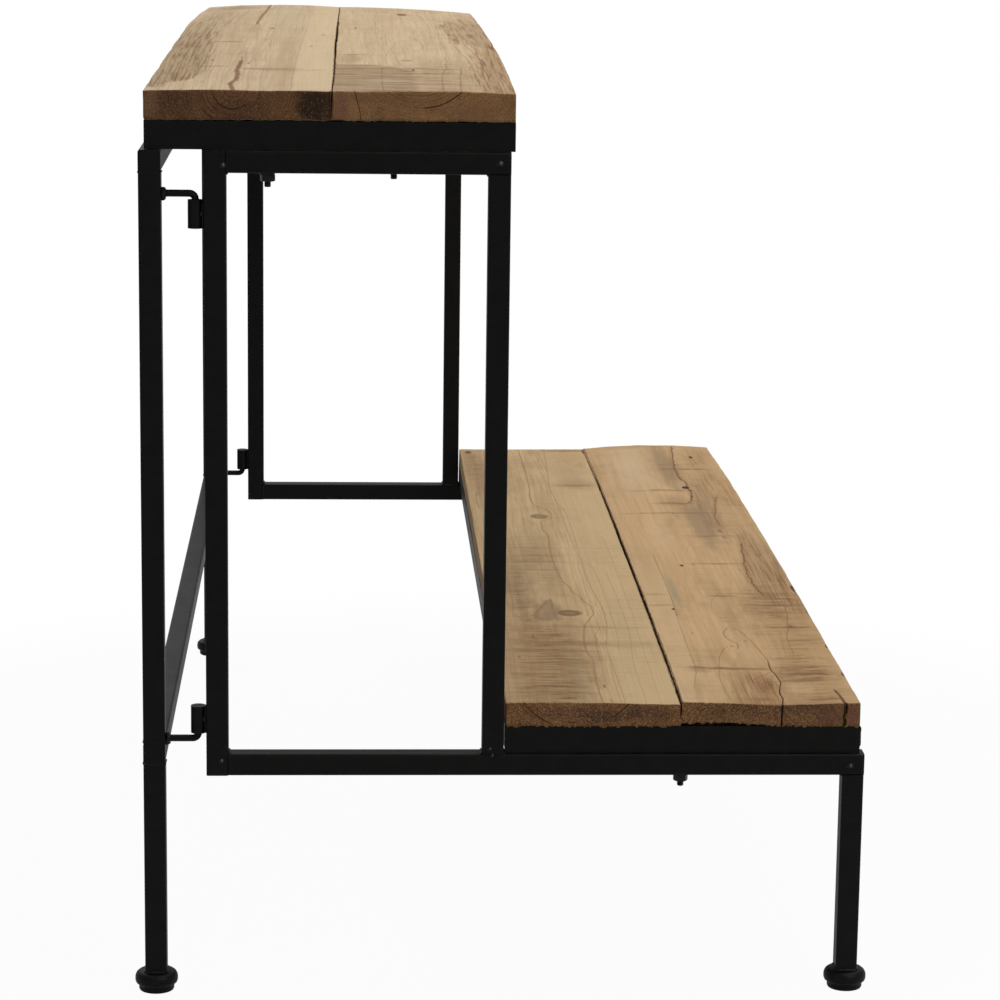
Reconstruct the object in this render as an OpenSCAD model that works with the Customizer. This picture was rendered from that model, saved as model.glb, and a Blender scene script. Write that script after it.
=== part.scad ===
// Two-tier plant stand of black square steel tube with shelves of old boards.
// A rear frame carries two end frames on hook hinges. Two lift-off shelves, each a
// tray of steel angle with two boards, drop over the end frames and keep them open.
// +X runs along the shelves, +Y to the back and +Z up. The origin is on the floor
// under the middle of the stand. Sizes are in millimetres.

/* [Frames] */
// Length over the two end frames
length = 1220; // [1215:5:1600]
// Outer width of the square tube
tube = 19; // [16:0.5:22]
// Wall of the square tube
tube_wall = 1.5; // [1:0.25:2]
// Outer corner radius of the square tube
tube_round = 2; // [1:0.25:2.5]
// Height of the frames, where the top tray sits
frame_h = 739.5; // [600:0.5:900]
// Height of the end frames' bottom rails, where the lower tray sits
step_h = 216.5; // [150:0.5:300]
// How much higher the rear frame's bottom rail is than the end frames' ones
rear_rail_lift = 10; // [0:0.5:10]
// Space between the rear frame and the end frames
hinge_gap = 35.5; // [30:0.5:50]
// Thickness of the plates that close the tube ends
cap_t = 1.5; // [1:0.25:3]

/* [Feet] */
// Diameter of a foot
foot_d = 37.5; // [30:0.5:50]
// Height of a foot
foot_h = 18; // [12:1:24]
// Diameter of the narrower rim that stands on the floor
foot_rim_d = 31; // [20:1:31]
// Height of that rim
foot_rim_h = 6.5; // [3:0.5:8]
// Rounding of a foot's upper edge
foot_round = 3.5; // [1:0.5:3.5]

/* [Hinges] */
// Diameter of the bent rod that makes a hook
pin_d = 6; // [4:0.5:7]
// Radius of the hook's bend, on the rod's centre line
bend_r = 5; // [4:0.5:8]
// Radial running clearance of the pin in its socket
pin_clear = 0.1; // [0.02:0.02:0.1]
// Outer diameter of a hinge socket
socket_d = 13; // [11:0.5:16]
// Length of a hinge socket
socket_len = 24; // [16:1:40]
// Distance of the hinge axis from the end frame's rear face
axis_out = 7; // [6:0.5:9]
// Upper hook's centre line below the top of the frames
upper_hook_drop = 37; // [30:0.5:60]
// Lower hook's centre line above the top of the bottom rails
lower_hook_rise = 12.5; // [12:0.5:40]
// Diameter of the weld collar at the root of a hook
collar_d = 9; // [8:0.5:12]
// Length of the weld collar
collar_len = 2; // [1:0.5:4]

/* [Trays] */
// Thickness of the angle bars
bar_t = 3; // [2:0.5:4]
// Width of the angle bars' flange under the boards
flange_w = 25; // [20:1:40]
// Height of the bars across the two ends
end_bar_h = 24; // [20:0.5:40]
// How much shorter the long bars stand, so that the bolt heads pass under them
long_bar_lift = 2.5; // [2.5:0.25:6]
// Distance of a tray's end from the outer face of the end frame
tray_inset = 4; // [2:0.5:6]
// Gap in which a tray rests on the rails
seat_gap = 0.3; // [0.1:0.1:0.5]
// Distance of the top tray's rear edge from the rear frame's rear face
rear_inset = 5; // [0:0.5:12]
// How far the top tray reaches past the front of the end frames
front_over = 3.5; // [0:0.5:10]
// Clearance of the lower tray from the front uprights
tray_clear = 1; // [1:0.5:5]
// How far the bottom rails reach past the lower tray
rail_past = 4; // [0:0.5:12]

/* [Boards] */
// Width of a board
board_w = 155; // [140:1:200]
// Gap between the two boards of a shelf
board_gap = 1; // [0.5:0.5:6]
// Thickness of a top board at its ends
board_t = 25; // [22:0.5:35]
// Thickness of a lower board at its ends
low_board_t = 20; // [18:0.5:30]
// How far a board's end stands past its tray
board_over = 1.5; // [0:0.5:3]
// Rise of the top shelf's boards from the ends to the middle
top_crown = 12; // [0:0.5:16]
// Rise of the lower shelf's boards from the ends to the middle
low_crown = 1.5; // [0:0.5:10]

/* [Fasteners] */
// Diameter of the bolts in the rails
bolt_d = 6; // [5:0.5:7]
// Diameter of a bolt's flat head
bolt_head_d = 10; // [9:0.5:11]
// Height of a bolt's flat head
bolt_head_h = 2; // [1:0.25:2.25]
// Clearance of the bolt's head from the tray's end bar
head_clear = 0.5; // [0.3:0.1:1]
// Distance of a top bolt from the middle of the shelf
bolt_offset = 53; // [30:1:90]
// How far a bolt with a nut shows below its rail
nut_bolt_out = 12.5; // [11:0.5:20]
// How far a bolt without a nut shows below its rail
bare_bolt_out = 5; // [3:0.5:10]
// Width across the flats of a nut
nut_af = 10; // [9:0.5:11]
// Height of a nut
nut_h = 6; // [4:0.5:7]
// Diameter of a washer
washer_d = 13.5; // [11:0.5:14]
// Thickness of a washer
washer_t = 1.6; // [1:0.2:2.4]
// Radial clearance of bolts and screws in their drilled holes
hole_clear = 0.2; // [0.1:0.05:0.3]
// Radial clearance of threads in the nuts and in the boards
thread_clear = 0.05; // [0.05:0.05:0.2]
// Diameter of the wood screws
screw_d = 4; // [3:0.5:5]
// Length of a wood screw in its board
screw_len = 14; // [10:1:16]
// Diameter of a wood screw's head
screw_head_d = 8; // [7:0.5:9]
// Height of a wood screw's head
screw_head_h = 2.5; // [1.5:0.5:3]
// Distance of the screws from the boards' long edges
screw_edge = 40; // [35:1:60]

/* [Hidden] */
$fn = 48;

steel = "#1b1b1c";
bright = "#3a3a3c";
wood_light = "#b58f66";
wood_dark = "#a67f57";
// Points along the curved top of a board
crown_steps = 24;
// Width of the weld web between a socket and its upright
web_w = 6;
// How far a cut runs past the face that it leaves by
cut_over = 1;
// Room left beyond the tip of a wood screw
tip_room = 0.5;
inner_round = max(0.25, tube_round - tube_wall);

// The depths below run to the front from the rear faces of the end frames
tray_w = 2 * board_w + board_gap;
tray_len = length - 2 * tray_inset;
top_rear = rear_inset - tube - hinge_gap;
upper_depth = top_rear + tray_w - front_over;
low_rear = upper_depth + tray_clear;
lower_depth = low_rear + tray_w + rail_past;

// Y of the rear tubes' centre, of the end frames' rear faces and of the front legs' centre
y_rear = (hinge_gap + lower_depth) / 2;
y_face = y_rear - tube / 2 - hinge_gap;
y_leg = y_face - lower_depth + tube / 2;
y_axis = y_face + axis_out;
x_end = -length / 2;
x_tube = x_end + tube / 2;

top_seat = frame_h + seat_gap;
low_seat = step_h + seat_gap;
rear_rail_top = step_h + rear_rail_lift;
upper_hook_z = frame_h - upper_hook_drop;
lower_hook_z = step_h + lower_hook_rise;
// Distance from a hook's centre line to the near end of its socket
socket_drop = bend_r + seat_gap;
// The bolts stand inboard of the tray's end bar
x_bolt = x_end + tray_inset + bar_t + head_clear + bolt_head_d / 2;
top_mid = top_rear + tray_w / 2;
low_mid = low_rear + tray_w / 2;

// Draws the left end's piece, or its mirror image at the right end
module at_end(right = false) {
    mirror([right ? 1 : 0, 0, 0]) children();
}

module rounded_square(side, r) {
    square([side, side - 2 * r], center = true);
    square([side - 2 * r, side], center = true);
    for (sx = [-1, 1], sy = [-1, 1])
        translate([sx * (side / 2 - r), sy * (side / 2 - r)]) circle(r = r);
}

// A length of square tube from the origin along +Z
module tube_z(len) {
    linear_extrude(height = len) difference() {
        rounded_square(tube, tube_round);
        rounded_square(tube - 2 * tube_wall, inner_round);
    }
}

module tube_x(len) {
    rotate([90, 0, 90]) tube_z(len);
}

// A length of square tube from the origin to the front, along -Y
module tube_front(len) {
    rotate([90, 0, 0]) tube_z(len);
}

module cap_plate() {
    linear_extrude(height = cap_t) rounded_square(tube, tube_round);
}

// Rear frame
module rear_rail(z_top) {
    color(steel) translate([x_end + cap_t, y_rear, z_top - tube / 2]) tube_x(length - 2 * cap_t);
}

module rear_rail_end_caps() {
    color(steel) for (z_top = [frame_h, rear_rail_top], right = [false, true])
        at_end(right) translate([x_end, y_rear, z_top - tube / 2]) rotate([90, 0, 90]) cap_plate();
}

module rear_upright(right) {
    color(steel) at_end(right) translate([x_tube, y_rear, rear_rail_top])
        tube_z(frame_h - tube - rear_rail_top);
}

module rear_leg(right) {
    color(steel) at_end(right) translate([x_tube, y_rear, foot_h]) tube_z(rear_rail_top - tube - foot_h);
}

module foot(right, y) {
    color(steel) at_end(right) translate([x_tube, y, 0]) rotate_extrude() {
        square([foot_rim_d / 2, foot_h - foot_round]);
        translate([0, foot_rim_h]) square([foot_d / 2, foot_h - foot_rim_h - foot_round]);
        translate([0, foot_rim_h]) square([foot_d / 2 - foot_round, foot_h - foot_rim_h]);
        translate([foot_d / 2 - foot_round, foot_h - foot_round])
            intersection() {
                circle(r = foot_round);
                square(foot_round);
            }
    }
}

// A rod from the rear upright to the hinge axis that turns down (way = -1) or up (way = 1)
module hinge_hook(right, z, way) {
    run = hinge_gap - axis_out - bend_r;
    color(steel) at_end(right) translate([x_tube, y_rear - tube / 2, z]) {
        rotate([90, 0, 0]) cylinder(d = pin_d, h = run);
        rotate([90, 0, 0]) cylinder(d = collar_d, h = collar_len);
        mirror([0, 0, way > 0 ? 1 : 0]) {
            translate([0, -run, -bend_r]) rotate([0, -90, 0]) rotate([0, 0, -90])
                rotate_extrude(angle = 90) translate([bend_r, 0]) circle(d = pin_d);
            translate([0, -run - bend_r, -bend_r - socket_len - seat_gap])
                cylinder(d = pin_d, h = socket_len + seat_gap);
        }
    }
}

// End frames
module end_rear_upright(right) {
    color(steel) at_end(right) translate([x_tube, y_face - tube / 2, step_h - tube + cap_t])
        tube_z(frame_h - step_h + tube - 2 * cap_t);
}

module end_front_upright(right) {
    color(steel) at_end(right) translate([x_tube, y_face - upper_depth + tube / 2, step_h])
        tube_z(frame_h - tube - step_h);
}

// A rail of an end frame, drilled for its bolts
module end_rail(right, z_top, depth, bolts) {
    color(steel) at_end(right) difference() {
        translate([x_tube, y_face - tube, z_top - tube / 2]) tube_front(depth - tube - cap_t);
        for (b = bolts)
            translate([x_bolt, y_face - b, z_top - tube - cut_over])
                cylinder(r = bolt_d / 2 + hole_clear, h = tube + 2 * cut_over);
    }
}

module end_top_rail(right) {
    end_rail(right, frame_h, upper_depth, [top_mid - bolt_offset, top_mid + bolt_offset]);
}

module end_bottom_rail(right) {
    end_rail(right, step_h, lower_depth, [low_mid]);
}

module end_caps(right) {
    color(steel) at_end(right) {
        for (z_low = [step_h - tube, frame_h - cap_t])
            translate([x_tube, y_face - tube / 2, z_low]) cap_plate();
        for (end = [[upper_depth, frame_h], [lower_depth, step_h]])
            translate([x_tube, y_face - end[0] + cap_t, end[1] - tube / 2]) rotate([90, 0, 0]) cap_plate();
    }
}

module front_leg(right) {
    color(steel) at_end(right) translate([x_tube, y_leg, foot_h]) tube_z(step_h - tube - foot_h);
}

// A short tube welded to the end frame's rear upright by a narrow web
module hinge_socket(right, z_low) {
    color(steel) at_end(right) difference() {
        union() {
            translate([x_tube, y_axis, z_low]) cylinder(d = socket_d, h = socket_len);
            translate([x_tube - web_w / 2, y_face, z_low]) cube([web_w, axis_out, socket_len]);
        }
        translate([x_tube, y_axis, z_low - cut_over])
            cylinder(r = pin_d / 2 + pin_clear, h = socket_len + 2 * cut_over);
    }
}

module upper_hinge_socket(right) {
    hinge_socket(right, upper_hook_z - socket_drop - socket_len);
}

module lower_hinge_socket(right) {
    hinge_socket(right, lower_hook_z + socket_drop);
}

// Bolts: the flat head lies on the rail inside the tray, and the end shows below the rail
module rail_bolt(depth, z_top, out) {
    translate([x_bolt, y_face - depth, z_top - tube - out]) cylinder(d = bolt_d, h = tube + out);
    translate([x_bolt, y_face - depth, z_top]) cylinder(d = bolt_head_d, h = bolt_head_h);
}

module shelf_bolts(right) {
    color(bright) at_end(right) {
        rail_bolt(top_mid - bolt_offset, frame_h, nut_bolt_out);
        rail_bolt(top_mid + bolt_offset, frame_h, bare_bolt_out);
        rail_bolt(low_mid, step_h, nut_bolt_out);
    }
}

// Puts its children under the rails at the two bolts that have a nut
module under_nut_bolts(right) {
    at_end(right) {
        translate([x_bolt, y_face - top_mid + bolt_offset, frame_h - tube]) children();
        translate([x_bolt, y_face - low_mid, step_h - tube]) children();
    }
}

module shelf_washers(right) {
    color(bright) under_nut_bolts(right) difference() {
        translate([0, 0, -washer_t]) cylinder(d = washer_d, h = washer_t);
        translate([0, 0, -washer_t - cut_over])
            cylinder(r = bolt_d / 2 + hole_clear, h = washer_t + 2 * cut_over);
    }
}

module shelf_nuts(right) {
    color(bright) under_nut_bolts(right) difference() {
        translate([0, 0, -washer_t - nut_h]) cylinder(d = nut_af / cos(30), h = nut_h, $fn = 6);
        translate([0, 0, -washer_t - nut_h - cut_over])
            cylinder(r = bolt_d / 2 + thread_clear, h = nut_h + 2 * cut_over);
    }
}

// Places of the wood screws of one tray, as [x, depth from the tray's rear edge]
screw_x = tray_len / 2 - (bar_t + flange_w) / 2;
screw_side = (bar_t + flange_w) / 2;
screw_y = [for (b = [0, 1], s = [screw_edge, board_w - screw_edge]) b * (board_w + board_gap) + s];
end_screws = [for (s = [-1, 1], y = screw_y) [s * screw_x, y]];
side_screws = [for (s = [-1, 0, 1], y = [screw_side, tray_w - screw_side]) [s * tray_len / 4, y]];
screws = concat(end_screws, side_screws);

// A tray is drawn with its rear edge at Y = 0 and its underside at Z = 0, and these seat it
module on_top() {
    translate([0, y_face - top_rear, top_seat]) children();
}

module on_low() {
    translate([0, y_face - low_rear, low_seat]) children();
}

module screw_holes(r) {
    for (p = screws)
        translate([p[0], -p[1], end_bar_h - bar_t - cut_over])
            cylinder(r = r, h = cut_over + bar_t + screw_len + tip_room);
}

// Angle bar across a tray's left or right end
module tray_end_bar(right) {
    color(steel) difference() {
        at_end(right) union() {
            translate([-tray_len / 2, -tray_w, 0]) cube([bar_t, tray_w, end_bar_h]);
            translate([-tray_len / 2, -tray_w, end_bar_h - bar_t]) cube([flange_w, tray_w, bar_t]);
        }
        screw_holes(screw_d / 2 + hole_clear);
    }
}

// Angle bar along a tray's rear or front side, between the end bars
module tray_long_bar(front) {
    y_wall = front ? -tray_w : -bar_t;
    y_flange = front ? -tray_w : -flange_w;
    color(steel) difference() {
        union() {
            translate([-tray_len / 2 + bar_t, y_wall, long_bar_lift])
                cube([tray_len - 2 * bar_t, bar_t, end_bar_h - bar_t - long_bar_lift]);
            translate([-tray_len / 2 + flange_w, y_flange, end_bar_h - bar_t])
                cube([tray_len - 2 * flange_w, flange_w, bar_t]);
        }
        screw_holes(screw_d / 2 + hole_clear);
    }
}

function board_top(x, thick, crown) = thick + crown * (1 - pow(2 * x / (tray_len + 2 * board_over), 2));

// One board, flat below and crowned along its length
module board(front, thick, crown, tint) {
    half = tray_len / 2 + board_over;
    crown_points = [for (i = [0:crown_steps])
        let (x = half - 2 * half * i / crown_steps) [x, board_top(x, thick, crown)]];
    color(tint) difference() {
        translate([0, front ? -board_w - board_gap : 0, end_bar_h]) rotate([90, 0, 0])
            linear_extrude(height = board_w) polygon(concat([[-half, 0], [half, 0]], crown_points));
        screw_holes(screw_d / 2 + thread_clear);
    }
}

module board_screws() {
    color(bright) for (p = screws) translate([p[0], -p[1], end_bar_h - bar_t]) {
        cylinder(d = screw_d, h = bar_t + screw_len);
        translate([0, 0, -screw_head_h]) cylinder(d = screw_head_d, h = screw_head_h);
    }
}

rear_rail(frame_h);  // rear_top_rail
rear_rail(rear_rail_top);  // rear_bottom_rail
rear_rail_end_caps();
rear_upright(false);  // left_rear_upright
rear_upright(true);  // right_rear_upright
rear_leg(false);  // left_rear_leg
rear_leg(true);  // right_rear_leg
foot(false, y_rear);  // left_rear_foot
foot(true, y_rear);  // right_rear_foot
hinge_hook(false, upper_hook_z, -1);  // left_upper_hinge_hook
hinge_hook(false, lower_hook_z, 1);  // left_lower_hinge_hook
hinge_hook(true, upper_hook_z, -1);  // right_upper_hinge_hook
hinge_hook(true, lower_hook_z, 1);  // right_lower_hinge_hook
end_rear_upright(false);  // left_end_rear_upright
end_rear_upright(true);  // right_end_rear_upright
end_front_upright(false);  // left_end_front_upright
end_front_upright(true);  // right_end_front_upright
end_top_rail(false);  // left_end_top_rail
end_top_rail(true);  // right_end_top_rail
end_bottom_rail(false);  // left_end_bottom_rail
end_bottom_rail(true);  // right_end_bottom_rail
end_caps(false);  // left_end_caps
end_caps(true);  // right_end_caps
front_leg(false);  // left_front_leg
front_leg(true);  // right_front_leg
foot(false, y_leg);  // left_front_foot
foot(true, y_leg);  // right_front_foot
upper_hinge_socket(false);  // left_upper_hinge_socket
lower_hinge_socket(false);  // left_lower_hinge_socket
upper_hinge_socket(true);  // right_upper_hinge_socket
lower_hinge_socket(true);  // right_lower_hinge_socket
shelf_bolts(false);  // left_shelf_bolts
shelf_bolts(true);  // right_shelf_bolts
shelf_washers(false);  // left_shelf_washers
shelf_washers(true);  // right_shelf_washers
shelf_nuts(false);  // left_shelf_nuts
shelf_nuts(true);  // right_shelf_nuts
on_top() tray_end_bar(false);  // top_tray_left_bar
on_top() tray_end_bar(true);  // top_tray_right_bar
on_top() tray_long_bar(true);  // top_tray_front_bar
on_top() tray_long_bar(false);  // top_tray_rear_bar
on_top() board(true, board_t, top_crown, wood_light);  // top_front_board
on_top() board(false, board_t, top_crown, wood_dark);  // top_rear_board
on_top() board_screws();  // top_board_screws
on_low() tray_end_bar(false);  // lower_tray_left_bar
on_low() tray_end_bar(true);  // lower_tray_right_bar
on_low() tray_long_bar(true);  // lower_tray_front_bar
on_low() tray_long_bar(false);  // lower_tray_rear_bar
on_low() board(true, low_board_t, low_crown, wood_light);  // lower_front_board
on_low() board(false, low_board_t, low_crown, wood_dark);  // lower_rear_board
on_low() board_screws();  // lower_board_screws
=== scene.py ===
"""Looks of the two-tier plant stand: old boards, black painted steel, studio and camera.

Sizes are millimetres, but metres for the floor, the lamps, the camera and a mesh's points. Places
on the stand are given as s, the distance from its left end, u, the depth from the end frames'
rear faces to the front, and z, the height above the floor.
"""
import math

import bpy
import numpy as np
from mathutils import Matrix, Vector


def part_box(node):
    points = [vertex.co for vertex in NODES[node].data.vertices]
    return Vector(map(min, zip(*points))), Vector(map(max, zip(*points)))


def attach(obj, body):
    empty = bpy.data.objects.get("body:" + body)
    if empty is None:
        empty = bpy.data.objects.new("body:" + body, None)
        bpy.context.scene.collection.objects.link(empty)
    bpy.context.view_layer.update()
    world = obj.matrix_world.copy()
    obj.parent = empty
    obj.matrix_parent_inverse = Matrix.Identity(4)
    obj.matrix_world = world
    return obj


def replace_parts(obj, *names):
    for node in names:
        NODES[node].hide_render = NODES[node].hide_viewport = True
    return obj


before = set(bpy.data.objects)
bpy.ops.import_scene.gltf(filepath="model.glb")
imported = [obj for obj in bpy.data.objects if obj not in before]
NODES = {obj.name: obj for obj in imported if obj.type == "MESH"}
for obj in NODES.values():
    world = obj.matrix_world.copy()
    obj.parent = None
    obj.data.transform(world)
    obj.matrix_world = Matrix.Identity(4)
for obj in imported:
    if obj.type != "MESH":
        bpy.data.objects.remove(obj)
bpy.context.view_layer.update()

MM = 0.001
# The frame's X where s is 0, its Y where u is 0, and the steel tube's width
S_ZERO = -610.0
U_ZERO = 259.75
TUBE = 19.0


def at(s, u, z):
    """The point in metres at a place on the stand."""
    return Vector(((s + S_ZERO) * MM, (U_ZERO - u) * MM, z * MM))


def place(node):
    """A CAD node's box as its ranges of s, u and z."""
    low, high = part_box(node)
    s_range = (low.x / MM - S_ZERO, high.x / MM - S_ZERO)
    u_range = (U_ZERO - high.y / MM, U_ZERO - low.y / MM)
    return s_range, u_range, (low.z / MM, high.z / MM)


def value_noise(points, seed=0):
    """Smooth noise from -1 to 1 at each row of points, one cell to a unit."""
    cell = np.floor(points).astype(np.int64)
    part = points - cell
    part = part * part * (3 - 2 * part)
    total = np.zeros(len(points))
    for corner in range(8):
        step = np.array([corner & 1, corner >> 1 & 1, corner >> 2 & 1])
        q = cell + step
        n = q[:, 0] * 374761393 + q[:, 1] * 668265263 + q[:, 2] * 974634777 + seed * 1274126177
        n = ((n ^ (n >> 13)) * 1103515245) & 0xFFFFFFFF
        n = ((n ^ (n >> 15)) * 12345677) & 0xFFFFFFFF
        share = np.where(step == 1, part, 1 - part).prod(axis=1)
        total += ((n >> 8) & 0xFFFF) / 32767.5 * share
    return total - 1


def wobble(*axes, seed=0, octaves=1):
    """Noise at points given by three arrays or numbers, already scaled to cells."""
    axes = np.broadcast_arrays(*[np.asarray(a, float) for a in axes])
    points = np.stack([a.ravel() for a in axes], 1)
    total = sum(value_noise(points * 2 ** k, seed + 17 * k) / 2 ** k for k in range(octaves))
    return total.reshape(axes[0].shape)


def smooth_step(low, high, x):
    t = np.clip((np.asarray(x, float) - low) / (high - low), 0, 1)
    return t * t * (3 - 2 * t)


def piece(name, points, faces, material, body, sharp=40):
    """A mesh from points in metres, shaded smooth with sharp creases, that rides on a body."""
    mesh = bpy.data.meshes.new(name)
    mesh.from_pydata([tuple(p) for p in points], [], faces)
    mesh.validate()
    mesh.materials.append(material)
    mesh.shade_smooth()
    mesh.set_sharp_from_angle(angle=math.radians(sharp))
    obj = bpy.data.objects.new(name, mesh)
    bpy.context.scene.collection.objects.link(obj)
    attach(obj, body)
    return obj


# Shader values

def feed(tree, slot, value):
    """Links a value or socket to an input, or sets the input to a plain number or colour."""
    if isinstance(value, Value):
        tree.links.new(value.socket, slot)
    elif isinstance(value, bpy.types.NodeSocket):
        tree.links.new(value, slot)
    else:
        slot.default_value = value


def grow(tree, kind, inputs=(), **settings):
    """A new shader node with its settings. Its inputs are fed in order, or by the keys of a dict."""
    node = tree.nodes.new("ShaderNode" + kind)
    for key, value in settings.items():
        setattr(node, key, value)
    for key, value in inputs.items() if isinstance(inputs, dict) else enumerate(inputs):
        feed(tree, node.inputs[key], value)
    return node


def number(tree, kind, inputs=(), output=0, **settings):
    """What a new shader node gives, as a value."""
    return Value(tree, grow(tree, kind, inputs, **settings).outputs[output])


def size_of(tree, vector):
    """The length of a vector."""
    return number(tree, "VectorMath", (vector,), "Value", operation="LENGTH")


class Value:
    """A number in a shader tree. Arithmetic on it adds math nodes."""

    def __init__(self, tree, socket):
        self.tree = tree
        self.socket = socket

    def math(self, operation, *others, clamp=False):
        return number(self.tree, "Math", (self, *others), operation=operation, use_clamp=clamp)

    def __add__(self, other):
        return self.math("ADD", other)

    def __sub__(self, other):
        return self.math("SUBTRACT", other)

    def __mul__(self, other):
        return self.math("MULTIPLY", other)

    def flip(self):
        """One minus the value."""
        return number(self.tree, "Math", (1.0, self), operation="SUBTRACT")

    def line(self, scale, shift):
        """The value times a scale, plus a shift."""
        return self.math("MULTIPLY_ADD", scale, shift)

    def size(self):
        return self.math("ABSOLUTE")

    def clamp(self):
        return self.math("ADD", 0.0, clamp=True)

    def step(self, start, end, low=0.0, high=1.0):
        """Goes smoothly from low at start to high at end, which may be smaller than start."""
        if start > end:
            start, end, low, high = end, start, high, low
        inputs = (self, start, end, low, high)
        return number(self.tree, "MapRange", inputs, interpolation_type="SMOOTHSTEP")

    def course(self, points, straight=False):
        """A curve through (input, output) points, smooth or straight between them."""
        x0, x1 = points[0][0], points[-1][0]
        outs = [p[1] for p in points]
        y0, y1 = min(outs) - 1, max(outs) + 1
        node = grow(self.tree, "FloatCurve", {"Value": self.line(1 / (x1 - x0), -x0 / (x1 - x0))})
        curve = node.mapping.curves[0]
        spots = [((x - x0) / (x1 - x0), (y - y0) / (y1 - y0)) for x, y in points]
        for spot in spots[1:-1]:
            curve.points.new(*spot)
        curve.points[0].location = spots[0]
        curve.points[len(curve.points) - 1].location = spots[-1]
        for handle in curve.points:
            handle.handle_type = "VECTOR" if straight else "AUTO"
        node.mapping.update()
        return Value(self.tree, node.outputs[0]).line(y1 - y0, y0)

    def within(self, start, end, soft):
        """One between two numbers, and softly zero outside."""
        return (self - (start + end) / 2).size().step((end - start) / 2, (end - start) / 2 - soft)


class Paint:
    """A new material and the nodes that most of its looks are made of."""

    def __init__(self, name, **shader):
        self.material = bpy.data.materials.new(name)
        self.material.use_nodes = True
        self.tree = self.material.node_tree
        self.shader = self.tree.nodes["Principled BSDF"]
        self.set(**shader)
        self.coordinates = grow(self.tree, "TexCoord").outputs
        x, y, z = self.parts("Object")
        self.s = x * (1 / MM) - S_ZERO
        self.u = (y * (-1 / MM)) + U_ZERO
        self.z = z * (1 / MM)

    def parts(self, coordinates):
        """The three parts of the place or of the surface's own normal."""
        split = grow(self.tree, "SeparateXYZ", (self.coordinates[coordinates],))
        return [Value(self.tree, out) for out in split.outputs]

    def point(self, x, y, z=0.0):
        return grow(self.tree, "CombineXYZ", (x, y, z)).outputs[0]

    def along(self, ds, du, dz):
        """The place divided by a grain size in each direction."""
        inputs = (self.coordinates["Object"], (1 / MM / ds, 1 / MM / du, 1 / MM / dz))
        return grow(self.tree, "VectorMath", inputs, operation="MULTIPLY").outputs[0]

    def noise(self, vector, detail=2.0, rough=0.5, shift=0.0):
        inputs = {"Vector": vector, "W": shift, "Scale": 1.0, "Detail": detail, "Roughness": rough}
        return number(self.tree, "TexNoise", inputs, noise_dimensions="4D")

    def chance(self, value):
        """A random number for each whole number."""
        return number(self.tree, "TexWhiteNoise", {"W": value}, noise_dimensions="1D")

    def mix(self, share, a, b):
        """Colour a with a share of colour b over it."""
        under, over = ((*c, 1.0) if isinstance(c, tuple) else c for c in (a, b))
        return grow(self.tree, "Mix", {0: share, 6: under, 7: over}, data_type="RGBA").outputs[2]

    def coats(self, colour, *pairs):
        """A colour with others laid over it in turn, from (share, colour) pairs."""
        for share, tint in pairs:
            colour = self.mix(share, colour, tint)
        return colour

    def far(self, vector, centre, radii):
        """Distance from a centre, in radii."""
        scale = (1 / radii[0], 1 / radii[1], 0.0)
        shift = (-centre[0] / radii[0], -centre[1] / radii[1], 0.0)
        over = grow(self.tree, "VectorMath", (vector, scale, shift), operation="MULTIPLY_ADD")
        return size_of(self.tree, over.outputs[0])

    def arris(self, radius):
        """How much the surface turns within a radius in mm, 0 on a flat face and more on edges."""
        bevel = grow(self.tree, "Bevel", {"Radius": radius * MM}, samples=6)
        facing = grow(self.tree, "NewGeometry").outputs["Normal"]
        both = (bevel.outputs[0], facing)
        return number(self.tree, "VectorMath", both, "Value", operation="DOT_PRODUCT").flip()

    def bump(self, height, depth):
        """Relief of a height from 0 to 1 over a depth in mm."""
        node = grow(self.tree, "Bump", {"Strength": 1.0, "Distance": depth * MM, "Height": height})
        self.set(normal=node.outputs[0])

    def set(self, **values):
        for key, value in values.items():
            feed(self.tree, self.shader.inputs[key.replace("_", " ").title().replace("Ior", "IOR")], value)


# Wood

PALE = (0.8, 0.63, 0.42)
SAP = (0.76, 0.585, 0.355)
HONEY_SAP = (0.67, 0.485, 0.265)
BROWN = (0.232, 0.122, 0.052)
UMBER = (0.365, 0.222, 0.105)
DARK = (0.055, 0.026, 0.011)
WEATHERED = (0.38, 0.272, 0.16)
GREY = (0.345, 0.232, 0.132)
REDDISH = (0.42, 0.245, 0.125)
ORANGE = (0.46, 0.255, 0.105)
RUST = (0.23, 0.105, 0.042)
GREEN_GREY = (0.38, 0.315, 0.195)
KNOT = (0.235, 0.14, 0.066)
OLIVE = (0.275, 0.195, 0.095)
ASH = (0.3, 0.205, 0.118)
RUSSET = (0.36, 0.2, 0.09)
BURNT = (0.235, 0.118, 0.052)
# Painted shade along the top boards' joint
JOINT_EDGE_SHADE = (0.22, 0.095, 0.04)
SMOKE = (0.27, 0.185, 0.105)
JOINT_SHADE = (0.12, 0.06, 0.028)
SWIRL = (0.24, 0.135, 0.064)
FLAME = (0.26, 0.13, 0.055)
FISSURE = (0.17, 0.08, 0.032)

SIDE_GREY = (0.27, 0.19, 0.115)
WORN_EDGE = (0.66, 0.49, 0.29)
END_PIT = (0.035, 0.017, 0.009)
END_FIBRE = (0.76, 0.47, 0.235)
# Painted shade at the foot of the end faces
END_FOOT_SHADE = (0.075, 0.042, 0.022)
# Painted shade in ring shakes
SHAKE_SHADE = (0.018, 0.008, 0.004)
# Painted shade in cracks
CRACK_SHADE = (0.006, 0.003, 0.002)

# The depth u of the joint between a shelf's boards, and the near-black colour painted on the joint's inner
# faces as painted shade
JOINTS = {"top_shelf": (109.4, (0.08, 0.041, 0.018)), "lower_shelf": (413.2, (0.048, 0.024, 0.011))}
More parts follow.
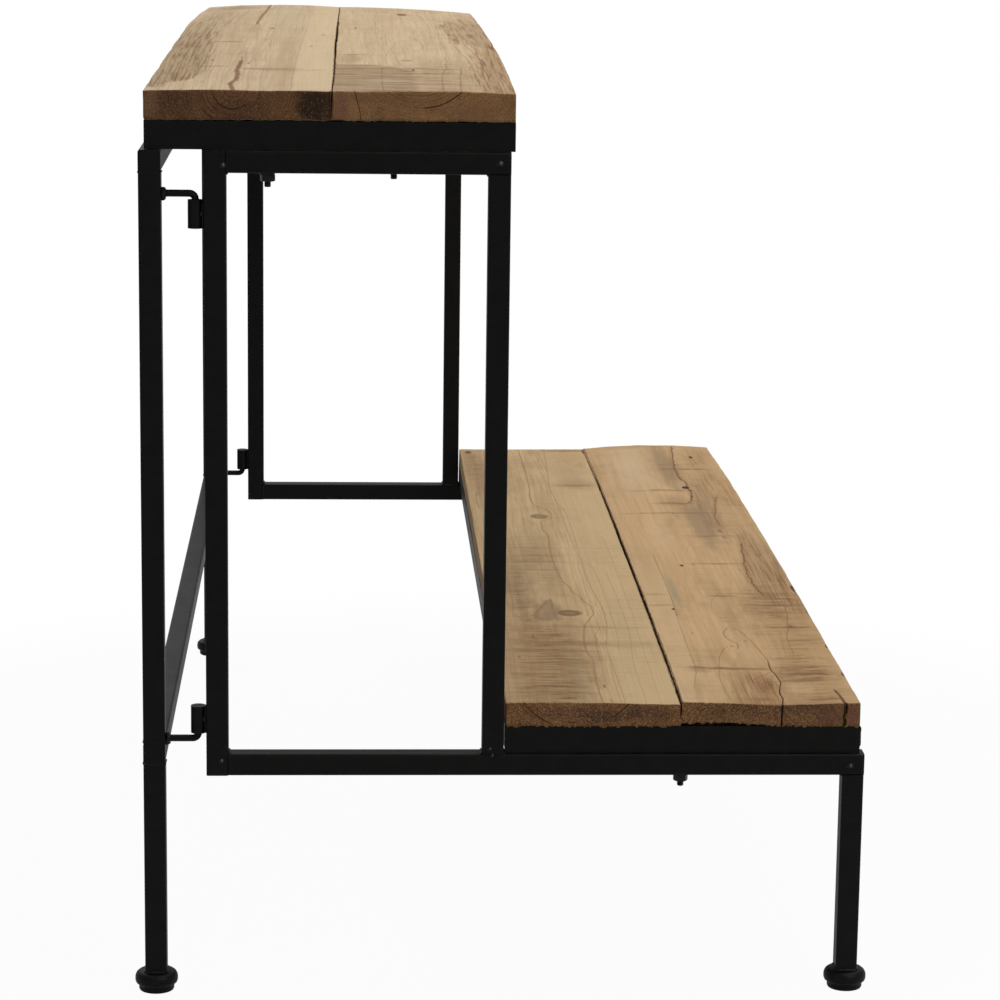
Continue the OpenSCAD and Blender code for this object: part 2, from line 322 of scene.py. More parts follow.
# Where the sapwood of the lower rear board ends, as (s, u) points
SAP_EDGE = [
    (0, 363.7), (135, 363), (190, 362.3), (235, 365.3), (270, 367.8), (311, 370.3), (351, 371),
    (392, 368.7), (460, 366), (520, 365), (748, 365.6), (820, 365), (852, 361.6), (880, 358.6),
    (916, 357.6), (960, 356), (1000, 356.4), (1060, 359), (1160, 362), (1220, 363),
]

# Each board's heart is the axis that its growth rings run round: depth u and height above the
# underside. The colours are the light and the deep one of the face and of the end grain.
# ring: the rings' spacing, sway: how far they wander, grain: how dark they are on the face, and
# coarse: how pitted the end grain is
# knots: (s, u, half length, half width, colour)
# patches: (s, u, half length, half width, colour, share, softness, pattern)
# zones: (edge as (s, u) points, side of it, colour, share, softness in mm, pattern, where it fades)
# marks: (s, u, half length, half width, colour, share)
# lines: (points, half width, colour, share, jitter)
# streaks across the board: (s, from u, to u, half width, share)
# stains on the near end: (u, height, half width, half height, colour, share)
# cracks on the near end, painted near black as shade in them: ((height, u) points, half width, share)
# shakes on the near end along a growth ring, painted near black as shade in them: (distance from the heart,
# from u, to u)
BOARDS = {}
BOARDS["top_rear_board"] = {
    "body": "top_shelf", "heart": (25.0, 27.0), "ring": 3.1, "sway": 10, "grain": 0.26,
    "face": ((0.735, 0.56, 0.36), (0.625, 0.46, 0.285)),
    "end": ((0.345, 0.165, 0.07), (0.165, 0.074, 0.03)), "coarse": 0.35, "knots": [],
    "zones": [
        ([(0, -62), (28, -50), (58, -34), (78, -20), (108, -12), (148, -3.5), (290, -3), (330, -6),
          (450, -9), (600, -14), (850, -22), (1000, -36), (1220, -50)], -1, (0.415, 0.295, 0.165), 0.78,
          3.5, "grain", (330, 1000)),
        ([(0, 73), (200, 73.5), (460, 76), (700, 79), (1220, 82)], 1, SAP, 0.62, 2.6, "plain", None),
    ],
    "patches": [
        (42, -41, 20, 7, WEATHERED, 0.55, 0.5, "grain"), (95, -25, 26, 6, UMBER, 0.5, 0.6, "grain"),
        (470, -36, 60, 7, ORANGE, 0.22, 0.6, "grain"), (760, -20, 330, 26, WEATHERED, 0.32, 0.7, "grain"),
        (280, 64, 320, 9, (0.5, 0.335, 0.195), 0.45, 0.6, "plain"),
        (176, 68, 26, 9, UMBER, 0.22, 0.7, "plain"), (1125, -8, 62, 24, GREY, 0.55, 0.6, "plain"),
        (900, 55, 260, 20, (0.62, 0.5, 0.3), 0.5, 0.7, "plain"),
        (560, 10, 300, 14, (0.55, 0.385, 0.225), 0.35, 0.7, "plain"),
        (3, 88, 6, 10, DARK, 0.35, 0.9, "grain"), (660, 24, 70, 8, REDDISH, 0.25, 0.7, "plain"),
    ],
    "marks": [
        (230, 31.3, 12, 1.5, BROWN, 0.55), (500, 40, 12, 3, BROWN, 0.28), (664, 43, 17, 3.2, BROWN, 0.6),
        (585, 96, 20, 2, BROWN, 0.34), (430, 85.5, 13, 2.2, BROWN, 0.38), (260, -2, 14, 3, BROWN, 0.3),
        (128, -11, 14, 2, BROWN, 0.45), (47, 21, 9, 3.0, RUST, 0.5),
    ],
    "lines": [
        ([(-5, 25.4), (22, 23.2), (47, 22.0), (70, 24), (100, 25), (130, 24.7), (170, 23.2), (212, 23.8),
          (262, 23.8)], 2.9, BURNT, 0.92, 1.0),
        ([(180, 23.3), (212, 23.8), (300, 23.9)], 1.2, BURNT, 0.6, 1.0),
        ([(727, 27), (760, 25.2), (822, 25.6), (877, 26), (927, 26.6), (985, 28), (1077, 28.4), (1216, 29)],
          1.9, BROWN, 0.85, 0.6),
        # The next two lines are painted shade along the joint: near black from s 940, where the mesh shuts
        # it, and reddish brown before
        ([(940, 110.4), (1100, 110.7), (1222, 110.6)], 0.8, DARK, 0.85, 0.2),
        ([(60, 107.6), (140, 108.0), (440, 108.3), (620, 109.0), (820, 109.6)], 0.9, JOINT_EDGE_SHADE, 0.8, 0.9),
        ([(60, -26.5), (150, -28), (300, -29), (480, -28)], 1.0, BROWN, 0.45, 1.6),
        ([(80, -15), (140, -21), (260, -22.5), (420, -21)], 1.0, BROWN, 0.45, 1.6),
        ([(110, -11), (200, -13), (340, -15), (520, -13)], 0.9, BROWN, 0.42, 1.6),
        ([(20, -34), (120, -36), (280, -36.5), (480, -35)], 1.1, BROWN, 0.45, 1.8),
        ([(150, -3.5), (230, -5.5), (350, -5), (560, -6)], 0.8, BROWN, 0.34, 1.4),
        ([(-5, 72.6), (200, 73.2), (460, 75.6), (700, 79)], 0.7, BROWN, 0.26, 1.0),
    ],
    "streaks": [
        (179, 26, 68, 7.5, 0.51), (200, -8, 10, 8, 0.37), (470, -6, 16, 9, 0.54), (176, 72, 100, 9, 0.17),
    ],
    "stains": [
        # The narrow near-black stain at u 105 is painted shade at the joint
        (92, 13, 17, 22, (0.03, 0.016, 0.009), 0.9), (105, 12, 2.5, 20, (0.015, 0.008, 0.005), 0.5),
        (-24, 14, 26, 16, (0.06, 0.03, 0.024), 0.42), (-44, 16, 8, 16, (0.42, 0.24, 0.12), 0.35),
        (30, 8, 34, 12, (0.1, 0.04, 0.026), 0.45),
    ],
    "cracks": [([(0, 105.5), (8, 106.5), (16, 105.2), (26, 106.6)], 0.7, 0.6)],
    "shakes": [(17.0, 8, 36), (30.0, 0, 14)],
}
BOARDS["top_front_board"] = {
    "body": "top_shelf", "heart": (182.0, 64.0), "ring": 2.6, "sway": 16, "grain": 0.24,
    "face": ((0.755, 0.58, 0.36), (0.65, 0.48, 0.29)),
    "end": ((0.56, 0.295, 0.128), (0.35, 0.17, 0.068)), "coarse": 0.22,
    "knots": [(1016, 181.6, 30, 5.2, BROWN)],
    "zones": [
        ([(0, 178), (165, 178), (195, 167), (215, 157), (229, 144), (234, 120), (238, 100), (300, 96)], -1,
          (0.41, 0.29, 0.168), 0.78, 3.0, "saw", (200, 280)),
        ([(0, 231), (150, 233), (375, 242), (450, 250), (520, 264)], 1, (0.46, 0.285, 0.15), 0.8, 6.0,
          "grain", None),
        ([(470, 252), (500, 232), (543, 225), (600, 227), (693, 223), (785, 221), (850, 229), (960, 244),
          (1220, 252)], 1, (0.42, 0.27, 0.148), 0.58, 8.0, "grain", (760, 1250)),
    ],
    "patches": [
        (290, 123, 46, 9, (0.45, 0.32, 0.19), 0.55, 0.4, "plain"),
        (80, 190, 10, 60, PALE, 0.28, 0.7, "plain"),
        (90, 205, 190, 34, (0.5, 0.345, 0.2), 0.62, 0.7, "saw"),
        (560, 225, 26, 4, UMBER, 0.55, 0.6, "grain"), (627, 226, 28, 4, UMBER, 0.62, 0.6, "grain"),
        (700, 224, 40, 4, UMBER, 0.5, 0.7, "grain"), (785, 221, 36, 3, UMBER, 0.5, 0.7, "grain"),
        (627, 245, 32, 4, BROWN, 0.45, 0.6, "grain"),
        (900, 140, 150, 10, (0.62, 0.49, 0.3), 0.5, 0.7, "plain"),
        (760, 164, 170, 9, (0.62, 0.43, 0.28), 0.4, 0.7, "plain"),
        (1110, 150, 60, 20, (0.56, 0.39, 0.25), 0.4, 0.7, "plain"),
        (1016, 182, 55, 9, REDDISH, 0.28, 0.7, "plain"), (330, 205, 60, 10, PALE, 0.2, 0.7, "plain"),
    ],
    "marks": [
        (179, 178.5, 11, 1.5, DARK, 0.65), (225, 177, 8, 1.2, BROWN, 0.35),
        (700, 128.6, 20, 1.4, BROWN, 0.75), (545, 154, 16, 1.6, BROWN, 0.28), (276, 175, 7, 7, BROWN, 0.34),
        (271, 174, 2.5, 6, BROWN, 0.4), (1022, 181, 14, 3, BROWN, 0.55), (152, 190, 8, 5, BROWN, 0.35),
        (230, 232, 16, 2.4, BROWN, 0.4),
    ],
    "lines": [
        # The next two lines are painted shade along the joint: near black from s 940, where the mesh shuts
        # it, and reddish brown before
        ([(940, 110.2), (1100, 110.7), (1222, 110.6)], 1.0, DARK, 0.85, 0.2),
        ([(60, 108.6), (140, 109.0), (440, 109.4), (620, 110.2), (820, 110.6)], 0.9, JOINT_EDGE_SHADE, 0.8, 0.9),
        ([(-5, 201), (100, 202), (175, 206), (215, 209), (250, 209)], 0.8, BROWN, 0.55, 1.0),
        ([(-5, 215.4), (100, 217.6), (175, 221), (215, 222.7)], 0.9, BROWN, 0.55, 1.0),
        ([(-5, 150.5), (60, 150), (200, 152)], 0.8, BROWN, 0.45, 1.2),
        ([(95, 242.5), (150, 244), (250, 245), (330, 243)], 1.0, BROWN, 0.45, 1.6),
        ([(240, 234), (300, 231), (350, 229), (420, 226), (520, 221)], 0.9, BROWN, 0.42, 1.4),
        ([(250, 247), (330, 243), (400, 239), (500, 234)], 1.0, BROWN, 0.45, 1.4),
        ([(300, 250), (380, 246), (470, 246), (560, 243)], 0.9, BROWN, 0.4, 1.4),
        ([(310, 156), (360, 158), (420, 163), (520, 170)], 0.7, BROWN, 0.25, 1.0),
    ],
    "streaks": [
        (57, 130, 236, 5, 0.51), (25, 150, 240, 3, 0.34), (115, 130, 200, 8, 0.41),
        (150, 140, 232, 5, 0.54), (192, 112, 228, 7, 0.51), (222, 112, 150, 5, 0.44),
        (335, 113, 138, 4, 0.54), (6, 112, 255, 3, 0.42),
    ],
    "stains": [
        (114, 10, 9, 18, (0.3, 0.13, 0.085), 0.6), (140, 20, 26, 5, (0.2, 0.1, 0.05), 0.35),
        # The narrow near-black stain at u 107.5 is painted shade at the joint
        (226, 8, 26, 8, (0.3, 0.145, 0.07), 0.45), (107.5, 13, 1.6, 20, (0.02, 0.01, 0.006), 0.45),
    ],
    "cracks": [([(2, 131.8), (9, 130.6), (14, 129.4)], 0.42, 0.75)], "shakes": [(51.5, 184, 217)],
}
BOARDS["lower_rear_board"] = {
    "body": "lower_shelf", "heart": (322.0, 58.0), "ring": 3.4, "sway": 10, "grain": 0.26,
    "face": ((0.765, 0.545, 0.303), (0.65, 0.446, 0.238)),
    "end": ((0.47, 0.228, 0.094), (0.24, 0.108, 0.04)), "coarse": 0.8,
    "knots": [(337, 337, 13.0, 11.5, KNOT), (799, 334, 12.0, 9.8, OLIVE)],
    "zones": [(SAP_EDGE, 1, HONEY_SAP, 0.72, 1.6, "plain", None)],
    "patches": [
        (130, 296, 230, 36, (0.42, 0.26, 0.125), 0.62, 0.7, "saw"),
        (30, 312, 50, 16, UMBER, 0.45, 0.7, "saw"), (150, 326, 190, 26, UMBER, 0.4, 0.8, "saw"),
        (440, 292, 120, 14, ASH, 0.5, 0.7, "saw"),
        (570, 318, 150, 30, (0.33, 0.225, 0.125), 0.36, 0.7, "saw"),
        (214, 372, 13, 44, UMBER, 0.28, 0.7, "saw"), (1050, 276, 170, 12, REDDISH, 0.5, 0.7, "saw"),
        (313, 312, 9, 9, GREY, 0.6, 0.5, "plain"),
        (346, 318, 38, 12, (0.29, 0.195, 0.115), 0.62, 0.5, "plain"),
        (395, 351, 45, 8, REDDISH, 0.22, 0.7, "plain"), (785, 353, 50, 8, REDDISH, 0.2, 0.7, "plain"),
        (985, 388, 34, 22, UMBER, 0.3, 0.7, "saw"), (1060, 385, 70, 16, REDDISH, 0.28, 0.7, "plain"),
        (1108, 402, 26, 6, ORANGE, 0.32, 0.6, "plain"), (1160, 392, 40, 22, ORANGE, 0.3, 0.7, "plain"),
        # The brown patch at s 1206, u 392 is painted shade at the board's far end
        (1206, 392, 9, 30, BROWN, 0.5, 0.5, "plain"), (1195, 350, 22, 12, REDDISH, 0.3, 0.7, "plain"),
        (80, 330, 120, 8, GREEN_GREY, 0.28, 0.7, "plain"),
    ],
    "marks": [
        (60, 349.5, 8, 1.2, DARK, 0.55), (238, 296, 8, 2, BROWN, 0.5), (246, 318, 8, 5, RUST, 0.3),
        (1194, 269, 12, 4.5, DARK, 0.75), (1197, 411, 16, 2.4, DARK, 0.7), (556, 377, 12, 3, PALE, 0.35),
        (337, 349, 9, 2, UMBER, 0.35), (163, 279, 6, 2, BROWN, 0.4), (10, 352, 8, 2, BROWN, 0.3),
    ],
    "lines": [
        ([(-5, 344), (57, 343.7), (122, 345.3), (162, 346), (186, 342.5), (232, 343.7), (259, 345.3),
          (286, 348.7), (305, 352.8), (322, 357), (338, 360.3), (354, 360.3), (378, 356), (405, 352),
          (432, 345.3), (454, 343.7), (473, 339.5), (500, 337.8), (600, 335), (652, 336), (692, 337.6),
          (724, 334), (766, 334), (782, 342), (798, 348), (820, 348), (840, 342), (856, 334.5), (872, 331),
          (912, 330), (956, 332), (1216, 332)], 1.15, (0.33, 0.175, 0.08), 0.6, 0.5),
        ([(-5, 363.7), *SAP_EDGE[1:-1], (1216, 363)], 0.9, UMBER, 0.45, 0.7),
        ([(300, 324), (345, 322), (398, 321)], 1.0, ASH, 0.5, 1.0),
        ([(308, 303.5), (330, 304), (352, 308.5), (372, 314), (396, 321)], 2.6, SMOKE, 0.55, 1.4),
        ([(298, 322), (306, 311), (318, 304)], 1.8, SMOKE, 0.5, 1.2),
        ([(360, 323), (378, 322), (398, 321)], 1.3, ASH, 0.6, 0.8),
        ([(322, 352), (337, 355), (352, 352.5)], 0.8, UMBER, 0.7, 0.5),
        ([(-5, 411.4), (80, 412), (380, 413), (860, 413), (1222, 411)], 0.8, JOINT_SHADE, 0.75, 0.6),
        ([(-5, 287.5), (100, 287.8), (240, 288)], 0.8, REDDISH, 0.45, 2.4),
        ([(150, 353), (200, 353), (226, 355), (260, 357)], 0.8, BROWN, 0.42, 1.2),
        ([(190, 373), (300, 377), (420, 377), (560, 372)], 0.7, BROWN, 0.25, 1.0),
        ([(-5, 382.5), (140, 383), (300, 389), (520, 386)], 0.7, BROWN, 0.25, 1.0),
        ([(-5, 395), (180, 396), (420, 398), (700, 396)], 0.7, BROWN, 0.2, 1.0),
        ([(840, 272), (880, 268), (940, 271)], 0.9, BROWN, 0.45, 1.2),
    ],
    "streaks": [
        (101, 288, 324, 2.5, 0.51), (118, 284, 330, 3, 0.44), (143, 288, 345, 3.5, 0.48),
        (186, 284, 352, 4, 0.48), (216, 282, 362, 8, 0.54), (246, 290, 332, 5, 0.48),
        (280, 280, 406, 5, 0.34), (980, 366, 406, 6, 0.58), (528, 292, 345, 3, 0.37),
        (566, 292, 345, 5, 0.41), (596, 296, 350, 4, 0.31), (633, 298, 345, 3, 0.34),
        (60, 284, 330, 4, 0.37), (36, 266, 335, 5, 0.42), (360, 290, 300, 4, 0.42),
    ],
    "stains": [
        (345, 9, 26, 7, (0.085, 0.042, 0.03), 0.6), (388, 12, 20, 9, (0.1, 0.05, 0.03), 0.5),
        (320, 12, 50, 5, (0.15, 0.075, 0.048), 0.4), (372, 12, 9, 7, (0.055, 0.03, 0.026), 0.6),
    ],
    "cracks": [], "shakes": [(66.0, 380, 405), (58.0, 352, 372), (58.0, 262, 300)],
}
BOARDS["lower_front_board"] = {
    "body": "lower_shelf", "heart": (489.0, -38.0), "ring": 3.8, "sway": 26, "grain": 0.13,
    "face": ((0.7, 0.464, 0.246), (0.62, 0.402, 0.205)),
    "end": ((0.47, 0.235, 0.098), (0.185, 0.084, 0.033)), "coarse": 1.0,
    "knots": [(949, 512, 8, 4.0, DARK)],
    "zones": [
        ([(0, 427), (50, 428), (85, 433), (125, 437), (200, 437.5), (330, 440), (400, 441.5), (640, 441.5)],
          -1, (0.72, 0.51, 0.285), 0.55, 1.2, "plain", (420, 640)),
        ([(330, 566), (372, 540), (420, 534), (446, 531), (493, 529.6), (548, 532), (591, 536.4),
          (650, 541), (720, 548), (760, 566)], 1, (0.4, 0.255, 0.135), 0.6, 4.0, "grain", (480, 800)),
    ],
    "patches": [
        (38, 483, 88, 26, (0.41, 0.235, 0.105), 0.8, 0.8, "grain"),
        (4, 478, 22, 26, UMBER, 0.5, 0.7, "saw"),
        (74, 490, 30, 13, (0.36, 0.19, 0.085), 0.55, 0.7, "grain"),
        (12, 535, 24, 24, UMBER, 0.48, 0.7, "saw"), (108, 535, 34, 26, UMBER, 0.72, 0.6, "saw"),
        (60, 525, 20, 12, HONEY_SAP, 0.55, 0.6, "plain"),
        (205, 543, 250, 32, (0.47, 0.285, 0.132), 0.58, 0.9, "saw"),
        (60, 448, 70, 14, HONEY_SAP, 0.35, 0.7, "plain"), (375, 540, 70, 28, UMBER, 0.48, 0.8, "saw"),
        (390, 561, 90, 7, ORANGE, 0.42, 0.8, "grain"), (500, 553, 120, 8, UMBER, 0.3, 0.8, "grain"),
        (430, 447, 66, 4.4, GREEN_GREY, 0.6, 0.5, "plain"), (750, 508, 118, 14, GREY, 0.72, 0.4, "plain"),
        (830, 524, 150, 12, GREY, 0.55, 0.7, "grain"), (960, 540, 120, 16, UMBER, 0.4, 0.8, "grain"),
        (910, 561, 90, 9, ORANGE, 0.34, 0.8, "grain"), (1075, 502, 150, 11, GREY, 0.66, 0.5, "plain"),
        (870, 492, 34, 16, UMBER, 0.36, 0.8, "saw"),
        (1075, 458, 150, 22, (0.72, 0.535, 0.33), 0.75, 1.0, "plain"),
        (640, 545, 90, 10, REDDISH, 0.3, 0.8, "grain"), (1140, 545, 70, 14, UMBER, 0.3, 0.8, "grain"),
        (700, 458, 90, 12, (0.74, 0.52, 0.31), 0.4, 0.8, "plain"),
        (370, 470, 12, 6, UMBER, 0.28, 0.7, "plain"), (1205, 470, 10, 40, UMBER, 0.3, 0.7, "plain"),
        (545, 430, 200, 10, (0.56, 0.375, 0.205), 0.3, 0.8, "plain"),
    ],
    "marks": [
        (349, 439.2, 5.0, 2.0, DARK, 0.92), (330, 440, 16, 1.4, BROWN, 0.4),
        (540, 466.6, 6.0, 2.4, DARK, 0.96), (543.5, 479, 5, 2, BROWN, 0.4),
        (1140, 537.6, 9, 2.4, DARK, 0.85), (949, 511.4, 7, 3.6, DARK, 0.85), (931, 516, 6, 1.8, DARK, 0.6),
        (898, 514, 6, 1.6, DARK, 0.5), (439, 568, 14, 2.6, DARK, 0.85), (203, 568.5, 9, 1.8, DARK, 0.75),
        (100, 568, 8, 1.6, DARK, 0.65), (711, 525, 8, 2.6, BROWN, 0.65), (678, 526, 7, 3.0, BROWN, 0.5),
        (804, 483.6, 5, 2.2, BROWN, 0.55), (591, 552, 12, 4, BROWN, 0.35),
        (227, 495.6, 5, 1.4, BROWN, 0.45), (205, 479.6, 4, 1.8, BROWN, 0.55),
        (278, 544.6, 8, 2.4, BROWN, 0.7), (251, 447.6, 6, 1.2, BROWN, 0.35),
        # The dark mark at s 12, u 555 is painted shade in the split's groove
        (40, 461.5, 5, 1.6, RUST, 0.3), (12, 555, 14, 1.2, DARK, 0.7), (857, 498, 6, 3, BROWN, 0.5),
    ],
    "lines": [
        ([(-5, 413.2), (80, 414.2), (380, 415), (860, 415.2), (1222, 413)], 0.8, JOINT_SHADE, 0.75, 0.6),
        ([(50, 428.6), (85, 433), (125, 437), (200, 437.6), (240, 438), (330, 440)], 0.6, BROWN, 0.42, 0.5),
        ([(352, 441), (400, 441.8), (480, 441.8), (590, 441.6)], 0.7, (0.2, 0.13, 0.065), 0.55, 0.4),
        ([(14, 457), (90, 455.5), (128, 459.5), (152, 462), (174, 466), (196, 472), (206, 480)], 0.75,
          BROWN, 0.48, 0.5),
        ([(194, 482.6), (201, 485.3), (212, 486.4), (221.7, 483.7), (230.4, 479.2), (243.5, 477.5),
          (258.7, 478.2), (269.6, 481.2), (278, 486)], 0.95, SWIRL, 0.62, 0.4),
        ([(128, 507), (152, 506.8), (174, 505.3), (195.7, 503.3), (221.7, 501.2), (239, 498.3),
          (258.7, 495.3), (271.7, 491.0), (279, 485.6)], 0.95, SWIRL, 0.62, 0.4),
        ([(-5, 502.8), (30, 499.8), (55, 497), (68, 491), (84, 484)], 0.8, FLAME, 0.55, 1.0),
        ([(75, 483), (92, 489), (104, 499), (118, 506)], 0.9, FLAME, 0.55, 1.0),
        ([(58, 503), (70, 504.5), (84, 501)], 0.8, BROWN, 0.55, 0.8),
        ([(165, 525), (200, 528), (230, 529.5), (258, 531.5)], 0.6, BROWN, 0.32, 1.0),
        ([(170, 533.7), (207, 534.5), (230, 535.3), (252, 537.8), (272, 541.2), (304, 544.5), (322, 547.3),
          (360, 549)], 0.8, (0.24, 0.125, 0.055), 0.62, 1.2),
        ([(380, 537), (417, 534), (493, 530.5), (591, 537), (700, 545)], 4.5, RUSSET, 0.42, 2.5),
        ([(404, 535), (417, 534), (446, 531), (465, 530.4), (485, 531.4), (493, 529.6), (522, 531.4),
          (548, 532), (565, 534.4), (591, 536.4), (650, 540.6)], 1.25, FISSURE, 0.8, 1.6),
        ([(720, 531), (780, 528), (848, 535), (920, 545)], 4.0, RUSSET, 0.4, 2.5),
        ([(735, 530), (761, 528), (791, 528.6), (817, 532), (848, 535), (900, 543)], 1.2,
          (0.22, 0.115, 0.048), 0.66, 1.6),
        ([(852, 500), (896, 514), (960, 515), (1050, 511), (1212, 521)], 3.6, RUSSET, 0.45, 2.5),
        ([(852, 496), (859, 505), (870, 509.4), (896, 514), (930, 515.6), (949, 513.6), (965, 515),
          (987, 514.4), (1004, 511.4), (1043, 510.4), (1078, 511.4), (1113, 514), (1148, 516), (1212, 521)],
          1.25, FISSURE, 0.8, 1.4),
        ([(350, 478), (378, 479.5), (400, 485), (416, 493)], 0.6, BROWN, 0.35, 0.6),
        # This dark line along the split at u 556 is painted shade in its groove
        ([(-5, 556.0), (26, 554.8), (52, 552.4)], 1.2, DARK, 0.8, 0.8),
        ([(600, 478), (630, 482), (650, 486)], 0.6, BROWN, 0.28, 0.8),
    ],
    "streaks": [
        (123, 434, 508, 4.0, 0.9), (117, 431, 446, 9, 0.51), (82, 510, 557, 5, 0.71),
        (105, 518, 557, 6, 0.82), (128, 508, 556, 4, 0.58), (160, 512, 548, 4, 0.51),
        (18, 522, 553, 3, 0.58), (34, 525, 550, 2.5, 0.37), (277, 520, 566, 4.5, 0.78),
        (335, 522, 560, 7, 0.44), (366, 512, 562, 6, 0.58), (393, 516, 562, 5, 0.48),
        (415, 505, 562, 4, 0.51), (406, 483, 502, 3, 0.65), (550, 472, 536, 3, 0.58),
        (411, 414, 434, 4, 0.37), (365, 416, 436, 4, 0.34), (685, 488, 538, 3, 0.58),
        (806, 416, 552, 3.5, 0.51), (859, 470, 506, 6, 0.65), (932, 455, 524, 5, 0.51),
        (1061, 484, 552, 5, 0.61), (1090, 490, 530, 4, 0.34), (226, 536, 560, 4, 0.31),
        (20, 480, 496, 3, 0.59),
    ],
    "stains": [
        (540, 10, 12, 11, (0.17, 0.08, 0.06), 0.5), (470, 15, 40, 7, (0.13, 0.062, 0.034), 0.4),
        (563, 10, 5, 11, (0.3, 0.115, 0.085), 0.6), (520, 17, 26, 5, (0.1, 0.055, 0.034), 0.45),
    ],
    "cracks": [
        ([(0, 554.6), (5, 556.0), (9, 555.0), (13, 556.6), (17, 557.0), (22, 555.6)], 1.5, 0.97),
        ([(0, 500.4), (8, 500.7), (14, 501.0), (18, 501.2)], 0.75, 0.97),
    ],
    "shakes": [],
}


